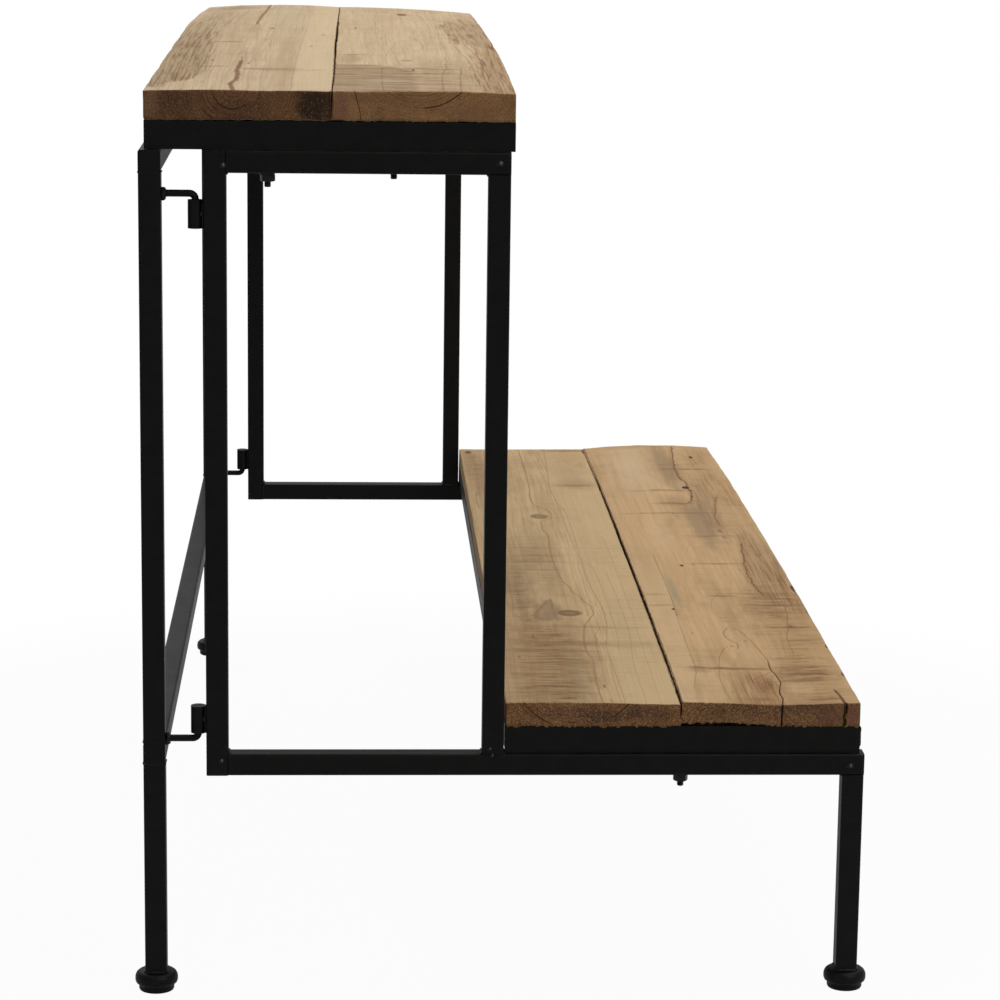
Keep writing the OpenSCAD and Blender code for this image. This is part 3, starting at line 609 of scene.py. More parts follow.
def wood(name, spec):
    """Old softwood in the round: rings about the heart, so that faces and end grain agree."""
    p = Paint("wood_" + name, roughness=0.8, specular_ior_level=0.2)
    low = place(name)[2][0]
    heart_u, heart_h = spec["heart"]
    s, u = p.s, p.u
    h = p.z - low
    flat = p.point(s, u)

    slow = p.noise(p.along(330, 70, 70), 1, shift=heart_u)
    drift = p.noise(p.along(160, 900, 900), 1, shift=heart_u + 5)
    du = u - heart_u + (drift - 0.5) * spec["sway"] + (slow - 0.5) * 6
    for ks, ku, long, wide, tint in spec["knots"]:
        pull = p.far(flat, (ks, ku), (long * 2.6, wide * 2.1)).step(1.6, 0.0, 0.0, -0.75)
        du = du + (u - ku) * pull
    dh = h - heart_h + (p.noise(p.along(240, 900, 900), 1, shift=heart_u + 9) - 0.5) * spec["sway"]
    radius = (du * du + dh * dh).math("SQRT")
    ragged = p.noise(p.along(45, 9, 9), 2, shift=2.0) - 0.5
    radius = radius + ragged * 1.6
    phase = radius * (1 / spec["ring"]) + (p.noise(p.point(radius * 0.06, 0.0), 1) - 0.5) * 3
    band = phase.math("FRACT")
    strong = p.chance(phase.math("FLOOR")).math("POWER", 2.2) * 0.8 + 0.2
    late = (band.step(0.40, 0.93) - band.step(0.93, 1.0)) * strong

    fibre = p.noise(p.along(24, 0.75, 0.75), 3, 0.6, shift=1.0)
    hair = p.noise(p.along(105, 2.3, 2.3), 2, 0.6, shift=14.0)
    strand = p.noise(p.along(260, 5.5, 5.5), 2, shift=3.0)
    cloud = p.noise(p.along(120, 40, 40), 3, 0.6, shift=heart_u + 20)
    comb = p.noise(p.along(4.6, 34, 150), 3, 0.65, shift=4.0)
    mottle = p.noise(p.along(5.0, 1.6, 1.6), 3, 0.7, shift=15.0)
    tooth = p.noise(p.along(1.6, 60, 60), 2, 0.7, shift=16.0)

    light, deep = spec["face"]
    # The lower shelf's boards are more mottled
    lively = 1.7 if spec["body"] == "lower_shelf" else 1.0
    sides = p.coats(
        p.mix(strand.step(0.28, 0.72), light, deep),
        (cloud.step(0.45, 0.75, 0.0, 0.16 * lively), BROWN),
        (late * spec["grain"], BROWN),
        (hair.step(0.50, 0.70, 0.0, spec["grain"] * 0.8), BROWN),
        (fibre.step(0.52, 0.80, 0.0, 0.26), BROWN),
        (fibre.step(0.46, 0.22, 0.0, 0.24), PALE),
    )
    colour = sides

    # Stains creep along rings and fibres, so they are placed on a map that wavers with both
    fine = p.noise(p.along(9, 9, 9), 2, shift=8.0) - 0.5
    edge_noise = p.noise(p.along(40, 10, 10), 4, 0.65, shift=6.0) - 0.5
    far_s = s + fine * 1.6 + late * 0.8
    far_u = u + fine * 0.9 + late * 0.5
    plan = p.point(far_s, far_u)
    marked = {"grain": hair * 0.0, "saw": comb * 0.0}
    rough = {"grain": hair - 0.5, "saw": comb - 0.5, "plain": strand - 0.5}
    for edge, side, tint, share, soft, pattern, fade in spec["zones"]:
        off = (far_u - far_s.course(edge, straight=True)) * side
        off = off + (edge_noise + rough[pattern]) * (soft * 5)
        cover = off.step(-soft * 1.6, soft * 1.6, 0.0, share)
        if fade:
            cover = cover * far_s.step(fade[1], fade[0])
        colour = p.mix(cover, colour, tint)
        if pattern in marked:
            marked[pattern] = marked[pattern] + cover
    edges = {}
    for ps, pu, long, wide, tint, share, soft, pattern in spec["patches"]:
        if (soft, pattern) not in edges:
            edges[soft, pattern] = edge_noise * (0.5 + soft) + rough[pattern] * 0.9
        cover = p.far(plan, (ps, pu), (long, wide)) + edges[soft, pattern]
        cover = cover.step(1 + soft * 0.8, 1 - soft, 0.0, share)
        colour = p.mix(cover, colour, tint)
        if pattern in marked:
            marked[pattern] = marked[pattern] + cover
    # In stained wood the dirt sits in the grain or in the marks of the saw
    in_grain, in_saw = marked["grain"], marked["saw"]
    colour = p.coats(
        colour,
        (in_grain * hair.step(0.46, 0.66, 0.0, 1.1) * mottle.step(0.30, 0.60, 0.55, 1.0), BROWN),
        (in_grain * hair.step(0.46, 0.30, 0.0, 0.5), HONEY_SAP),
        (in_saw * comb.step(0.46, 0.68, 0.0, 1.2) * mottle.step(0.30, 0.62, 0.50, 1.0), BROWN),
        (in_saw * comb.step(0.46, 0.30, 0.0, 0.5), HONEY_SAP),
        (tooth.step(0.50, 0.74) * cloud.step(0.40, 0.60, 0.0, 0.22 * lively), BROWN),
    )
    shaken = fine * 1.2
    scratch = tooth.step(0.3, 0.6, 0.45, 1.0)
    for at_s, u0, u1, wide, share in spec["streaks"]:
        off = p.far(plan, (at_s, (u0 + u1) / 2), (wide * 1.5, (u1 - u0) / 2 + 8)) + shaken
        colour = p.mix(off.step(1.15, 0.25, 0.0, share) * scratch, colour, BROWN)
    wavering = {}
    worn_line = fibre.step(0.2, 0.55, 0.6, 1.0)
    for points, wide, tint, share, jitter in spec["lines"]:
        if jitter not in wavering:
            wavering[jitter] = far_u + fine * (jitter * 3)
        off = (wavering[jitter] - far_s.course(points)).size().step(wide * 1.1, wide * 0.35, 0.0, share)
        off = off * far_s.within(points[0][0], points[-1][0], wide * 4)
        colour = p.mix(off * worn_line, colour, tint)
    for ks, ku, long, wide, tint in spec["knots"]:
        off = p.far(plan, (ks, ku), (long, wide)) + fine * 0.35
        colour = p.mix(off.step(1.25, 0.72) * (off.step(0.2, 1.0, 0.60, 0.92) + mottle * 0.2), colour, tint)
    dents = None
    shaken = fine * 0.7
    for ms, mu, long, wide, tint, share in spec["marks"]:
        spot = (p.far(plan, (ms, mu), (long, wide)) + shaken).step(1.15, 0.45, 0.0, share)
        colour = p.mix(spot, colour, tint)
        if tint == DARK:
            dents = spot if dents is None else dents + spot
    specks = p.noise(p.along(5, 2, 2), 1, shift=11.0).step(0.74, 0.80)
    colour = p.mix(specks * 0.45, colour, BROWN)

    normal_x, _, normal_z = p.parts("Normal")
    up = normal_z.step(0.35, 0.75)
    cut = normal_x.size().step(0.55, 0.85)
    side_colour = p.mix(comb.step(0.42, 0.66, 0.12, 0.5), sides, SIDE_GREY)
    # The joint's inner faces are painted near black: painted shade in the gap between the boards
    joint_u, joint_gap_shade = JOINTS[spec["body"]]
    in_joint = (u - joint_u).size().step(9, 5)
    side_colour = p.mix(in_joint * 0.90, side_colour, joint_gap_shade)
    colour = p.mix(up, side_colour, colour)

    pores = p.noise(p.along(2.2, 1.1, 1.1), 3, 0.7, shift=12.0)
    fleck = p.noise(p.along(3, 0.9, 1.2), 2, 0.7, shift=13.0)
    lean = p.noise(p.point(radius * 0.9, u * 0.09 + h * 0.02, s * 0.02), 3, 0.6)
    bright, dim = spec["end"]
    shade = tuple(v * 0.34 for v in dim)
    end = p.coats(
        p.mix(pores.step(0.36, 0.64), bright, dim),
        (late * 0.65, shade),
        (lean.step(0.52, 0.72, 0.0, 0.45), tuple(v * 1.25 for v in bright)),
        (lean.step(0.46, 0.30, 0.0, 0.50), shade),
        (cloud.step(0.45, 0.70, 0.0, 0.35), shade),
    )
    face = p.point(u, h)
    near = s.step(40, 20)
    for su, sh, wide, high, tint, share in spec["stains"]:
        stain = (p.far(face, (su, sh), (wide, high)) + edge_noise * 1.2).step(1.2, 0.4)
        end = p.mix(stain * near * share, end, tint)
    coarse = spec["coarse"]
    if name == "lower_front_board":
        coarse = u.step(540, 505, 0.40, 1.0)
    end = p.mix(fleck.step(0.48, 0.34) * coarse * 0.9, end, END_PIT)
    torn = fleck.step(0.60, 0.76) + fleck.step(0.54, 0.64) * coarse
    low_edge = h.step(4.5, 0)
    end = p.mix(torn.clamp() * (low_edge * 0.3 + 0.55), end, END_FIBRE)
    # The lowest few mm of the end faces are painted darker: painted shade under the ragged lower edge
    end = p.mix(low_edge * pores.step(0.35, 0.6) * 0.6, end, END_FOOT_SHADE)
    # Shakes along the growth rings are painted near black: painted shade inside them
    for ring, u0, u1 in spec["shakes"]:
        shake_shade_mask = (radius - ring).size().step(0.9, 0.2) * u.step(u0 - 2, u0 + 2) * u.step(u1 + 2, u1 - 2)
        end = p.mix(shake_shade_mask * near * fibre.step(0.25, 0.5) * 0.85, end, SHAKE_SHADE)
    # Cracks on the near end are painted near black: painted shade inside the cracks
    painted_crack_shade = None
    for points, wide, share in spec["cracks"]:
        gap = (u - h.course(points) + fine * 0.9).size().step(wide * 1.3, wide * 0.6)
        painted_crack_shade = gap * share if painted_crack_shade is None else painted_crack_shade + gap * share
    colour = p.mix(cut, colour, end)
    if painted_crack_shade is not None:
        colour = p.mix(painted_crack_shade.clamp() * s.step(7, 4), colour, CRACK_SHADE)

    edge = p.arris(1.6)
    colour = p.mix(edge.step(0.02, 0.22, 0.0, 0.30) * up, colour, WORN_EDGE)
    p.set(base_color=colour, roughness=(fibre * 0.10 + 0.76) - late * 0.08)

    relief = fibre * 0.35 + late * 0.35 + hair * 0.35 - comb * 0.30 * up + strand * 0.3
    if dents is not None:
        relief = relief - dents.clamp() * up * 2.5
    rough_end = (pores * 1.0 + fleck * 1.0 - late * 0.4) * cut
    p.bump(relief + rough_end, 0.35)
    return p.material


def stops(length, step, extra=()):
    """Places of mesh lines along a length, close together at the ends and at extra places."""
    ends = [0, 0.45, 1.0, 1.7, 2.6, 3.8, 5.5, 8]
    middle = list(np.linspace(8, length - 8, max(2, int((length - 16) / step) + 1)))[1:-1]
    lines = set(round(float(v), 4) for v in ends + middle + [length - e for e in ends])
    for spot, gap in extra:
        near = [spot + k * gap for k in (-3, -2, -1, 0, 1, 2, 3)]
        lines = {v for v in lines if v in ends or min(abs(v - n) for n in near) > 0.3}
        lines |= set(round(v, 4) for v in near)
    return np.array(sorted(lines))


def quads(numbers):
    """Faces between the points of a sheet."""
    corners = (numbers[:-1, :-1], numbers[1:, :-1], numbers[1:, 1:], numbers[:-1, 1:])
    return np.stack([c.ravel() for c in corners], 1).tolist()


def between(x, points):
    """The second number of (first, second) points, straight between them, at each x."""
    return np.interp(x, *zip(*points))


# Where the boards' upper faces lie above their undersides, at the near and the far end, as
# (u, height) points, and how far they rise between the ends.
TOPS = {
    "top_rear_board": (
        [(-48, 25.0), (-20, 25.7), (24, 26.3), (52, 25.6), (106, 25.5)],
        [(-48, 30.7), (-10, 33.7), (40, 34.7), (66, 34.4), (106, 32.9)], 8.0),
    "top_front_board": (
        [(107, 25.6), (150, 26.3), (210, 26.4), (240, 25.3), (261, 24.6)],
        [(107, 32.9), (154, 32.4), (200, 30.8), (242, 28.0), (261, 26.8)], 8.0),
    "lower_rear_board": (
        [(259.5, 21.8), (308, 22.1), (336, 21.5), (364, 21.2), (413.5, 20.1)],
        [(259.5, 17.6), (413.5, 18.2)], 1.4),
    "lower_front_board": (
        [(414.5, 22.7), (440, 22.1), (476, 20.5), (504, 19.8), (530, 20.4), (548, 21.3), (568.5, 21.3)],
        [(414.5, 19.1), (445, 21.6), (482, 23.8), (530, 23.5), (568.5, 21.8)], 1.4),
}
# The boards' long edges in plan, as (s, u) points: low u first, then high u
TOP_JOINT = [
    (0, 107.2), (140, 108.5), (440, 108.8), (620, 109.6), (920, 110.1), (1100, 110.7), (1220, 110.6),
]
LOWER_JOINT = [
    (0, 412.1), (80, 413.0), (380, 414.0), (860, 414.1), (1040, 413.5), (1160, 412.5), (1220, 412.0),
]
EDGES = {
    "top_rear_board": (
        [(0, -49.8), (200, -48.3), (400, -47.5), (600, -47.9), (800, -49.2), (980, -48.2),
         (1160, -45.9), (1220, -45.3)], TOP_JOINT),
    "top_front_board": (
        TOP_JOINT, [(0, 261.2), (80, 262.2), (200, 263.0), (380, 264.0), (740, 264.2),
                    (920, 265.2), (1160, 267.0), (1220, 267.3)]),
    "lower_rear_board": ([(0, 259.2), (1220, 259.4)], LOWER_JOINT),
    "lower_front_board": (
        LOWER_JOINT, [(0, 569.6), (260, 569.8), (560, 570.2), (920, 569.6), (1040, 568.3),
                      (1160, 566.3), (1220, 565.4)]),
}
# Splits that run along a board from its near end: the line through (s, u) points, half width,
# depth on the upper face and how far each goes in at the end
SPLITS = {
    "lower_front_board": [
        ([(0, 502), (20, 505.3), (35, 504.5), (52, 506), (63, 508), (75, 510.3), (87, 509.5), (104, 508.7),
          (115, 506.7), (130, 506.7), (145, 507.5), (175, 508.7)], 0.42, 5.0, 178),
        ([(0, 556.4), (26, 555.2), (50, 552.8)], 0.8, 5.0, 50),
    ],
}
# How the underside of the lower front board's near end is hollow, as (u, depth) points
HOLLOW = [(414, 3.5), (463, 3.0), (490, 0.8), (510, 0.3), (530, 0.0)]
# Each shelf's joint: how far half of it opens, over what length from the middle, how much the
# outer edges waver, and the spacing of the mesh lines across its boards
OPENINGS = {"top_shelf": (0.55, 190, 0.45, 2.6), "lower_shelf": (0.35, 330, 1.0, 1.7)}
# Half of the least opening, how far the boards overlap where they touch, and the joint's middle
LEAST_GAP = 0.3
OVERLAP = 0.3
JOINT_MIDDLE = 560


def board(name):
    """One board with a rounded, worn outline, its bow and twist, splits and a rough joint edge."""
    spec = BOARDS[name]
    (s0, s1), (u0, u1), (z0, _) = place(name)
    near_line, far_line, crown = TOPS[name]
    long, width = s1 - s0, u1 - u0
    thick = sum(h for _, h in near_line) / len(near_line)
    lower = spec["body"] == "lower_shelf"
    opening, open_length, outline, spacing = OPENINGS[spec["body"]]
    seed = sorted(BOARDS).index(name) * 101
    splits = SPLITS.get(name, [])
    extra = [(between(0, path) - u0, half * 0.55) for path, half, _, _ in splits]
    a_stops = stops(long, 4.2)
    b_stops = stops(width, spacing, extra)
    c_stops = stops(thick, 2.0)
    shape = (len(a_stops), len(b_stops), len(c_stops))
    skin = np.ones(shape, bool)
    skin[1:-1, 1:-1, 1:-1] = False
    number = np.full(shape, -1)
    number[skin] = np.arange(skin.sum())
    i, j, k = np.argwhere(skin).T
    p = np.stack([a_stops[i], b_stops[j], c_stops[k]], 1)
    # Depth u runs against Y, so the faces turn the other way from the lattice's own
    faces = quads(number[:, :, 0]) + quads(number[:, :, -1].T)
    faces += quads(number[:, 0, :].T) + quads(number[:, -1, :])
    faces += quads(number[0]) + quads(number[-1].T)

    # Edges are worn round, more in some places than in others
    a, b, c = p.T
    round_off = 1.3 + 0.7 * wobble(a / 40, b / 40, c / 40, seed=seed)
    round_off = np.maximum(round_off + 0.35 * wobble(a / 6, b / 6, c / 6, seed=seed + 1), 0.45)[:, None]
    inner = np.clip(p, round_off, np.array([long, width, thick]) - round_off)
    out = p - inner
    reach = np.linalg.norm(out, axis=1)[:, None]
    far = np.where(reach > 1e-9, reach, 1.0)
    p = np.where(reach > 1e-9, inner + out / far * np.minimum(round_off, far), p)
    edge_a, edge_c = a.copy(), c.copy()
    a, b, c = p.T

    # The upper face bows and twists, and the underside is a little rough
    s = s0 + a
    along = a / long
    top_near = between(u0 + b, near_line)
    top_far = between(u0 + b, far_line)
    top = top_near + (top_far - top_near) * along + crown * 4 * along * (1 - along)
    top = top + 0.22 * wobble(s / 70, b / 30, 0.0, seed=seed + 2, octaves=2)
    top = top + 0.10 * wobble(s / 14, b / 7, 3.0, seed=seed + 3)
    bottom = 0.25 + 0.25 * wobble(s / 50, b / 25, 7.0, seed=seed + 4)
    fuzz = wobble(0.0, b / 2.2, 2.0, seed=seed + 5, octaves=2)
    if lower:
        bottom = bottom - 2.0 * smooth_step(1.2, 0, edge_a) * np.clip(fuzz + 0.25, 0, 1)
    else:
        bottom = bottom + 0.7 * smooth_step(6, 0, edge_a) * np.clip(fuzz + 1, 0, 2.2)
    if name == "lower_front_board":
        bottom = bottom + between(u0 + b, HOLLOW) * smooth_step(260, 20, a)
    h = bottom + c / thick * (top - bottom)

    # The joint is ragged and open on top, and the boards touch lower down
    low_line, high_line = EDGES[name]
    share = b / width
    u = u0 + b + (between(s, low_line) - u0) * (1 - share) + (between(s, high_line) - u1) * share
    joint_high = high_line in (TOP_JOINT, LOWER_JOINT)
    inside = smooth_step(14, 0, width - b if joint_high else b)
    outside = smooth_step(14, 0, b if joint_high else width - b)
    jag = 0.35 * wobble(s / 3.2, h / 9, 0.0, seed=seed + 6, octaves=2)
    jag = jag + 0.25 * wobble(s / 22, 0.0, h / 18, seed=seed + 7)
    half_gap = LEAST_GAP + opening * np.exp(-((s - JOINT_MIDDLE) / open_length) ** 2)
    closing = thick * (0.60 + 0.3 * smooth_step(700, 1000, s))
    touch = 1 - smooth_step(0, 1, (c - 2) / (closing - 2))
    shut = smooth_step(960, 1130, s)
    back = np.maximum(half_gap + jag, -OVERLAP) * (1 - touch) - 0.45 * touch
    back = back * (1 - shut) - OVERLAP * shut
    sign = -1 if joint_high else 1
    u = u + sign * inside * back
    sway = 0.25 * wobble(s / 90, 0.0, 5.0, seed=seed + 9)
    sway = sway + 0.18 * wobble(s / 30, h / 12, 5.0, seed=seed + 10)
    u = u - sign * outside * sway * outline

    for path, half, depth, inward in splits:
        start = between(0, path)
        path_end = path[-1][0]
        bend = np.exp(-(((u0 + b) - start) / 9) ** 2) * smooth_step(path_end + 60, path_end, s)
        u = u + (between(s - s0, path) - start) * bend
        groove = np.clip(1 - np.abs((u0 + b) - start) / (half * 1.7), 0, 1)
        fade = smooth_step(inward, inward * 0.55, s - s0)
        h = h - np.where(edge_c > thick - 0.01, groove * depth * fade, 0)
        s = s + np.where(edge_a < 0.01, groove * 6.0, 0)
    # End faces are a little out of square and torn
    tear = 0.30 * wobble(b / 1.5, h / 1.5, 0.0, seed=seed + 11, octaves=2)
    tear = tear + 0.35 * wobble(b / 35, h / 12, 0.0, seed=seed + 12)
    at_near = smooth_step(3, 0, edge_a)
    at_far = smooth_step(3, 0, long - edge_a)
    s = s + at_near * (0.35 + tear) - at_far * (0.35 + tear)

    verts = [at(*q) + Vector((0, 0, z0 * MM)) for q in zip(s, u, h)]
    obj = piece(name + "_old_wood", verts, faces, wood(name, spec), spec["body"], sharp=50)
    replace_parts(obj, name)


for board_name in BOARDS:
    board(board_name)


# Steel

def painted_steel(name, base, dusty, rough, edge_wear_highlight_share=0.55, relief=0.035, shine=0.14):
    """Satin black paint, blotchy, with a little dust. Lighter edges: partly paint worn thin, partly a
    painted highlight.
    """
    p = Paint(name, specular_ior_level=shine)
    blotch = p.noise(p.along(16, 16, 16), 3, 0.6)
    broad = p.noise(p.along(120, 120, 120), 2, shift=2.0)
    peel = p.noise(p.along(1.3, 1.3, 1.3), 2, 0.6, shift=4.0)
    dust = p.noise(p.along(3.2, 3.2, 3.2), 3, 0.7, shift=6.0)
    colour = p.mix(blotch.step(0.35, 0.70), base, dusty)
    colour = p.mix(dust.step(0.66, 0.80, 0.0, 0.35), colour, (0.034, 0.032, 0.029))
    edge = p.arris(1.1)
    # Lighter edges: the paint worn thin there, and a painted highlight where the rounded edges catch the
    # light
    edge_wear_highlight = edge.step(0.04, 0.30) * blotch.step(0.38, 0.62, 0.25, 1.0)
    colour = p.mix(edge_wear_highlight * edge_wear_highlight_share, colour, (0.068, 0.064, 0.059))
    gloss = blotch * 0.16 + broad * 0.12 + dust * 0.05 + (rough - 0.16)
    p.set(base_color=colour, roughness=gloss - edge_wear_highlight * 0.06)
    p.bump(peel * 0.35 + blotch * 0.65, relief)
    return p.material


def bare_steel(name):
    """Dull zinc on the wood screws."""
    p = Paint(name, metallic=1.0)
    stain = p.noise(p.along(2.5, 2.5, 2.5), 3, 0.6)
    grain = p.noise(p.along(0.5, 0.5, 3), 2, shift=3.0)
    colour = p.mix(stain.step(0.35, 0.7), (0.42, 0.41, 0.38), (0.20, 0.19, 0.175))
    p.set(base_color=colour, roughness=stain * 0.25 + 0.28)
    p.bump(grain, 0.03)
    return p.material


PAINT = painted_steel("black_satin_paint", (0.0050, 0.0048, 0.0045), (0.0085, 0.0080, 0.0073), 0.40)
WELD = painted_steel("painted_weld", (0.0060, 0.0058, 0.0055), (0.012, 0.0115, 0.0105), 0.27,
                     relief=0.12, shine=0.22)
# A lighter grey for small lumps on the tack welds: a painted highlight of their glint
TACK_HIGHLIGHT = painted_steel("bright_tack", (0.060, 0.059, 0.056), (0.13, 0.128, 0.122), 0.20, shine=0.8)
BOLT = painted_steel("blackened_steel", (0.009, 0.009, 0.009), (0.020, 0.019, 0.018), 0.30,
                     edge_wear_highlight_share=0.8, shine=0.22)
FINISHES = {"bolt_steel": BOLT, "screw_steel": bare_steel("dull_zinc")}

for node in NODES.values():
    old_name = node.data.materials[0].name if node.data.materials else ""
    finish = PAINT
    for slot_name, material in FINISHES.items():
        if old_name.startswith(slot_name):
            finish = material
    for slot in node.material_slots:
        slot.material = finish


class Shape:
    """Collects points and faces of one piece, in metres."""

    def __init__(self):
        self.points = []
        self.faces = []

    def skin(self, rows):
        """A closed skin over rows of points, each row once round, with both ends shut."""
        start = len(self.points)
        count = len(rows[0])
        last = start + (len(rows) - 1) * count
        for row in rows:
            self.points.extend(row)
        for p in range(start, last, count):
            for j in range(count):
                k = (j + 1) % count
                self.faces.append([p + j, p + k, p + count + k, p + count + j])
        self.faces.append([start + j for j in range(count)][::-1])
        self.faces.append([last + j for j in range(count)])

    def piece(self, name, material, body, slot="black_paint", sharp=70):
        return piece(name, self.points, self.faces, material, body, sharp)


def frame_of(direction):
    """Two directions square to one, right-handed with it."""
    z = Vector(direction).normalized()
    x = z.cross(Vector((0, 0, 1)) if abs(z.z) < 0.9 else Vector((0, 1, 0))).normalized()
    return x, z.cross(x), z


def bead(shape, start, end, radius, seed):
    """A weld bead between two points: a lumpy rod with the ripples of a run of weld."""
    start, end = at(*start), at(*end)
    x, y, _ = frame_of(end - start)
    run = (end - start).length / MM
    steps = max(6, int(run / 0.55))
    rows = []
    for i in range(steps + 1):
        t = i / steps
        ripple = 0.10 * math.sin(2 * math.pi * t * run / 1.9)
        swell = float(wobble(seed * 3.7 + t * run / 4, 0.3, 0.6, seed=5)) * 0.22
        taper = min(1.0, math.sqrt(max(0.0, 1 - (2 * t - 1) ** 8)) + 0.12)
        r = radius * (1 + ripple + swell) * taper
        centre = start + (end - start) * t
        angles = [2 * math.pi * j / 12 for j in range(12)]
        rows.append([centre + (x * math.cos(v) + y * math.sin(v)) * r * MM for v in angles])
    shape.skin(rows)


def blob(shape, centre, radii, normal, seed, dimple=0.0):
    """A tack weld: a lumpy flattened dome with a dimple on top."""
    x, y, z = frame_of(normal)
    rows = []
    for i in range(11):
        tilt = math.pi * (0.03 + 0.94 * i / 10)
        row = []
        for j in range(18):
            angle = 2 * math.pi * j / 18
            d = Vector((math.sin(tilt) * math.cos(angle), math.sin(tilt) * math.sin(angle), math.cos(tilt)))
            lump = 1 + 0.16 * float(wobble(d.x * 1.7 + seed, d.y * 1.7, d.z * 1.7, seed=9))
            lump += 0.07 * float(wobble(d.x * 4 + seed, d.y * 4, d.z * 4, seed=11))
            rise = d.z - dimple * math.exp(-(math.sin(tilt) / 0.35) ** 2) * (1 if d.z > 0 else 0)
            q = x * d.x * radii[0] + y * d.y * radii[1] + z * rise * radii[2]
            row.append(centre + q * lump * MM)
        rows.append(row)
    shape.skin(rows)


# Heights of the rails' faces, and each end's outer face with the way inward from it
TOP_UNDER, STEP_UNDER = 720.5, 197.5
STEP_FACE = STEP_UNDER + TUBE
REAR_STEP_UNDER = 207.5
REAR_STEP_FACE = REAR_STEP_UNDER + TUBE
ENDS = {"left": (0.0, 1), "right": (1220.0, -1)}
# Inner corners of an end frame with a bead: (u, z, way of the bead in u, in z)
CORNERS = [
    (19, TOP_UNDER, 1, -1), (239, TOP_UNDER, -1, -1), (19, STEP_FACE, 1, 1), (239, STEP_FACE, -1, 1),
    (258, STEP_FACE, 1, 1), (555, STEP_UNDER, -1, -1),
]
# Seams on an end frame's inner face, from (u, z) to (u, z)
SEAMS = [
    ((19, 722), (19, 738)), ((240.5, 720.5), (256.5, 720.5)), ((19, 199), (19, 215)),
    ((240.5, 216.5), (256.5, 216.5)), ((556.5, 197.5), (572.5, 197.5)),
]
# Tack welds on an end frame's outer face: (u, z, radius)
TACKS = [
    (16.2, 726.9, 3.4), (248.5, 730.0, 3.6), (245.4, 221.2, 2.6), (247.6, 215.6, 2.4),
    (561.4, 206.1, 3.4), (12.9, 210.7, 3.0),
]
# The height of the bead that joins a leg to its foot
FOOT_TOP = 18.2


def foot_top(shape, mid_s, u_range):
    """The bead round the foot of a leg."""
    u0, u1 = u_range
    s0, s1 = mid_s - TUBE / 2, mid_s + TUBE / 2
    ring = [(s0 + 1, u0), (s1 - 1, u0), (s1, u0 + 1), (s1, u1 - 1), (s1 - 1, u1), (s0 + 1, u1),
            (s0, u1 - 1), (s0, u0 + 1)]
    for n in range(0, 8, 2):
        bead(shape, (*ring[n], FOOT_TOP), (*ring[n + 1], FOOT_TOP), 1.2, n + mid_s)


def end_frame_welds(side):
    """Welds of one end frame: beads in the inner corners, seams on the inner face, tacks outside."""
    outer, way = ENDS[side]
    shape = Shape()
    bright = Shape()
    for n, (u, z, du, dz) in enumerate(CORNERS):
        u, z = u + du * 0.35, z + dz * 0.35
        bead(shape, (outer + way * 1.6, u, z), (outer + way * 17.4, u, z), 1.25, n)
    seam_s = outer + way * (TUBE - 0.35)
    for n, (start, end) in enumerate(SEAMS):
        bead(shape, (seam_s, *start), (seam_s, *end), 1.1, n + 20)
    for n, (u, z, r) in enumerate(TACKS):
        flat = at(outer + way * 0.15, u, z)
        blob(shape, flat, (r, r * 0.8, 1.5), (-way, 0, 0), n * 3.1 + outer, dimple=0.35)
        side_lump = flat + Vector((0, -0.5 * MM, 0.6 * MM))
        # A small lump on each tack in lighter grey: a painted highlight
        blob(bright, side_lump, (r * 0.42, r * 0.55, 2.1), (-way, -0.2, 0.25), n * 5.3 + 2 + outer)
    # Along the web between each socket and the upright
    mid = outer + way * TUBE / 2
    for node in (side + "_upper_hinge_socket", side + "_lower_hinge_socket"):
        z0, z1 = place(node)[2]
        for n, off in enumerate((-3.6, 3.6)):
            bead(shape, (mid + off, -0.6, z0 + 1.5), (mid + off, -0.6, z1 - 1.5), 1.3, n + 40)
        spot = at(mid - way * 3.4, -1.6, (z0 + z1) / 2 + 0.8)
        blob(shape, spot, (2.6, 2.8, 2.2), (-way, 0.5, 0.3), outer + z0)
    foot_top(shape, mid, place(side + "_front_leg")[1])
    body = side + "_end_frame"
    bright.piece(side + "_tack_tops", TACK_HIGHLIGHT, body)
    shape.piece(side + "_end_welds", WELD, body)


def rear_frame_welds():
    """Welds of the rear frame: inner corners, feet and the roots of the hooks."""
    shape = Shape()
    for side, (outer, way) in ENDS.items():
        u0, u1 = place(side + "_rear_upright")[1]
        inner = outer + way * TUBE
        mid = outer + way * TUBE / 2
        heights = (TOP_UNDER, REAR_STEP_FACE, REAR_STEP_UNDER)
        for n, (z, dz) in enumerate(zip(heights, (-1, 1, -1))):
            s, z = inner + way * 0.35, z + dz * 0.35
            bead(shape, (s, u0 + 1.6, z), (s, u1 - 1.6, z), 1.25, n + outer)
        for n, (u, z) in enumerate((u, z) for u in (u0, u1) for z in heights):
            bead(shape, (outer + way * 1.8, u, z), (inner - way * 1.8, u, z), 0.75, n + 60 + outer)
        # Round the upper and the lower hook's root
        for z in (702.5, 229.0):
            blob(shape, at(mid, u1 + 1.4, z), (5.4, 5.4, 3.4), (0, -1, 0), outer + z)
            spot = at(mid - way * 3.0, u1 + 2.6, z + 1.6)
            blob(shape, spot, (2.6, 2.4, 2.4), (-way, -0.6, 0.5), z)
            spot = at(mid - way * 1.0, u1 + 1.6, z - 3.4)
            blob(shape, spot, (2.8, 2.6, 2.6), (-way * 0.4, -0.5, -1), z + 3)
        foot_top(shape, mid, (u0, u1))
    shape.piece("rear_frame_welds", WELD, "rear_frame")


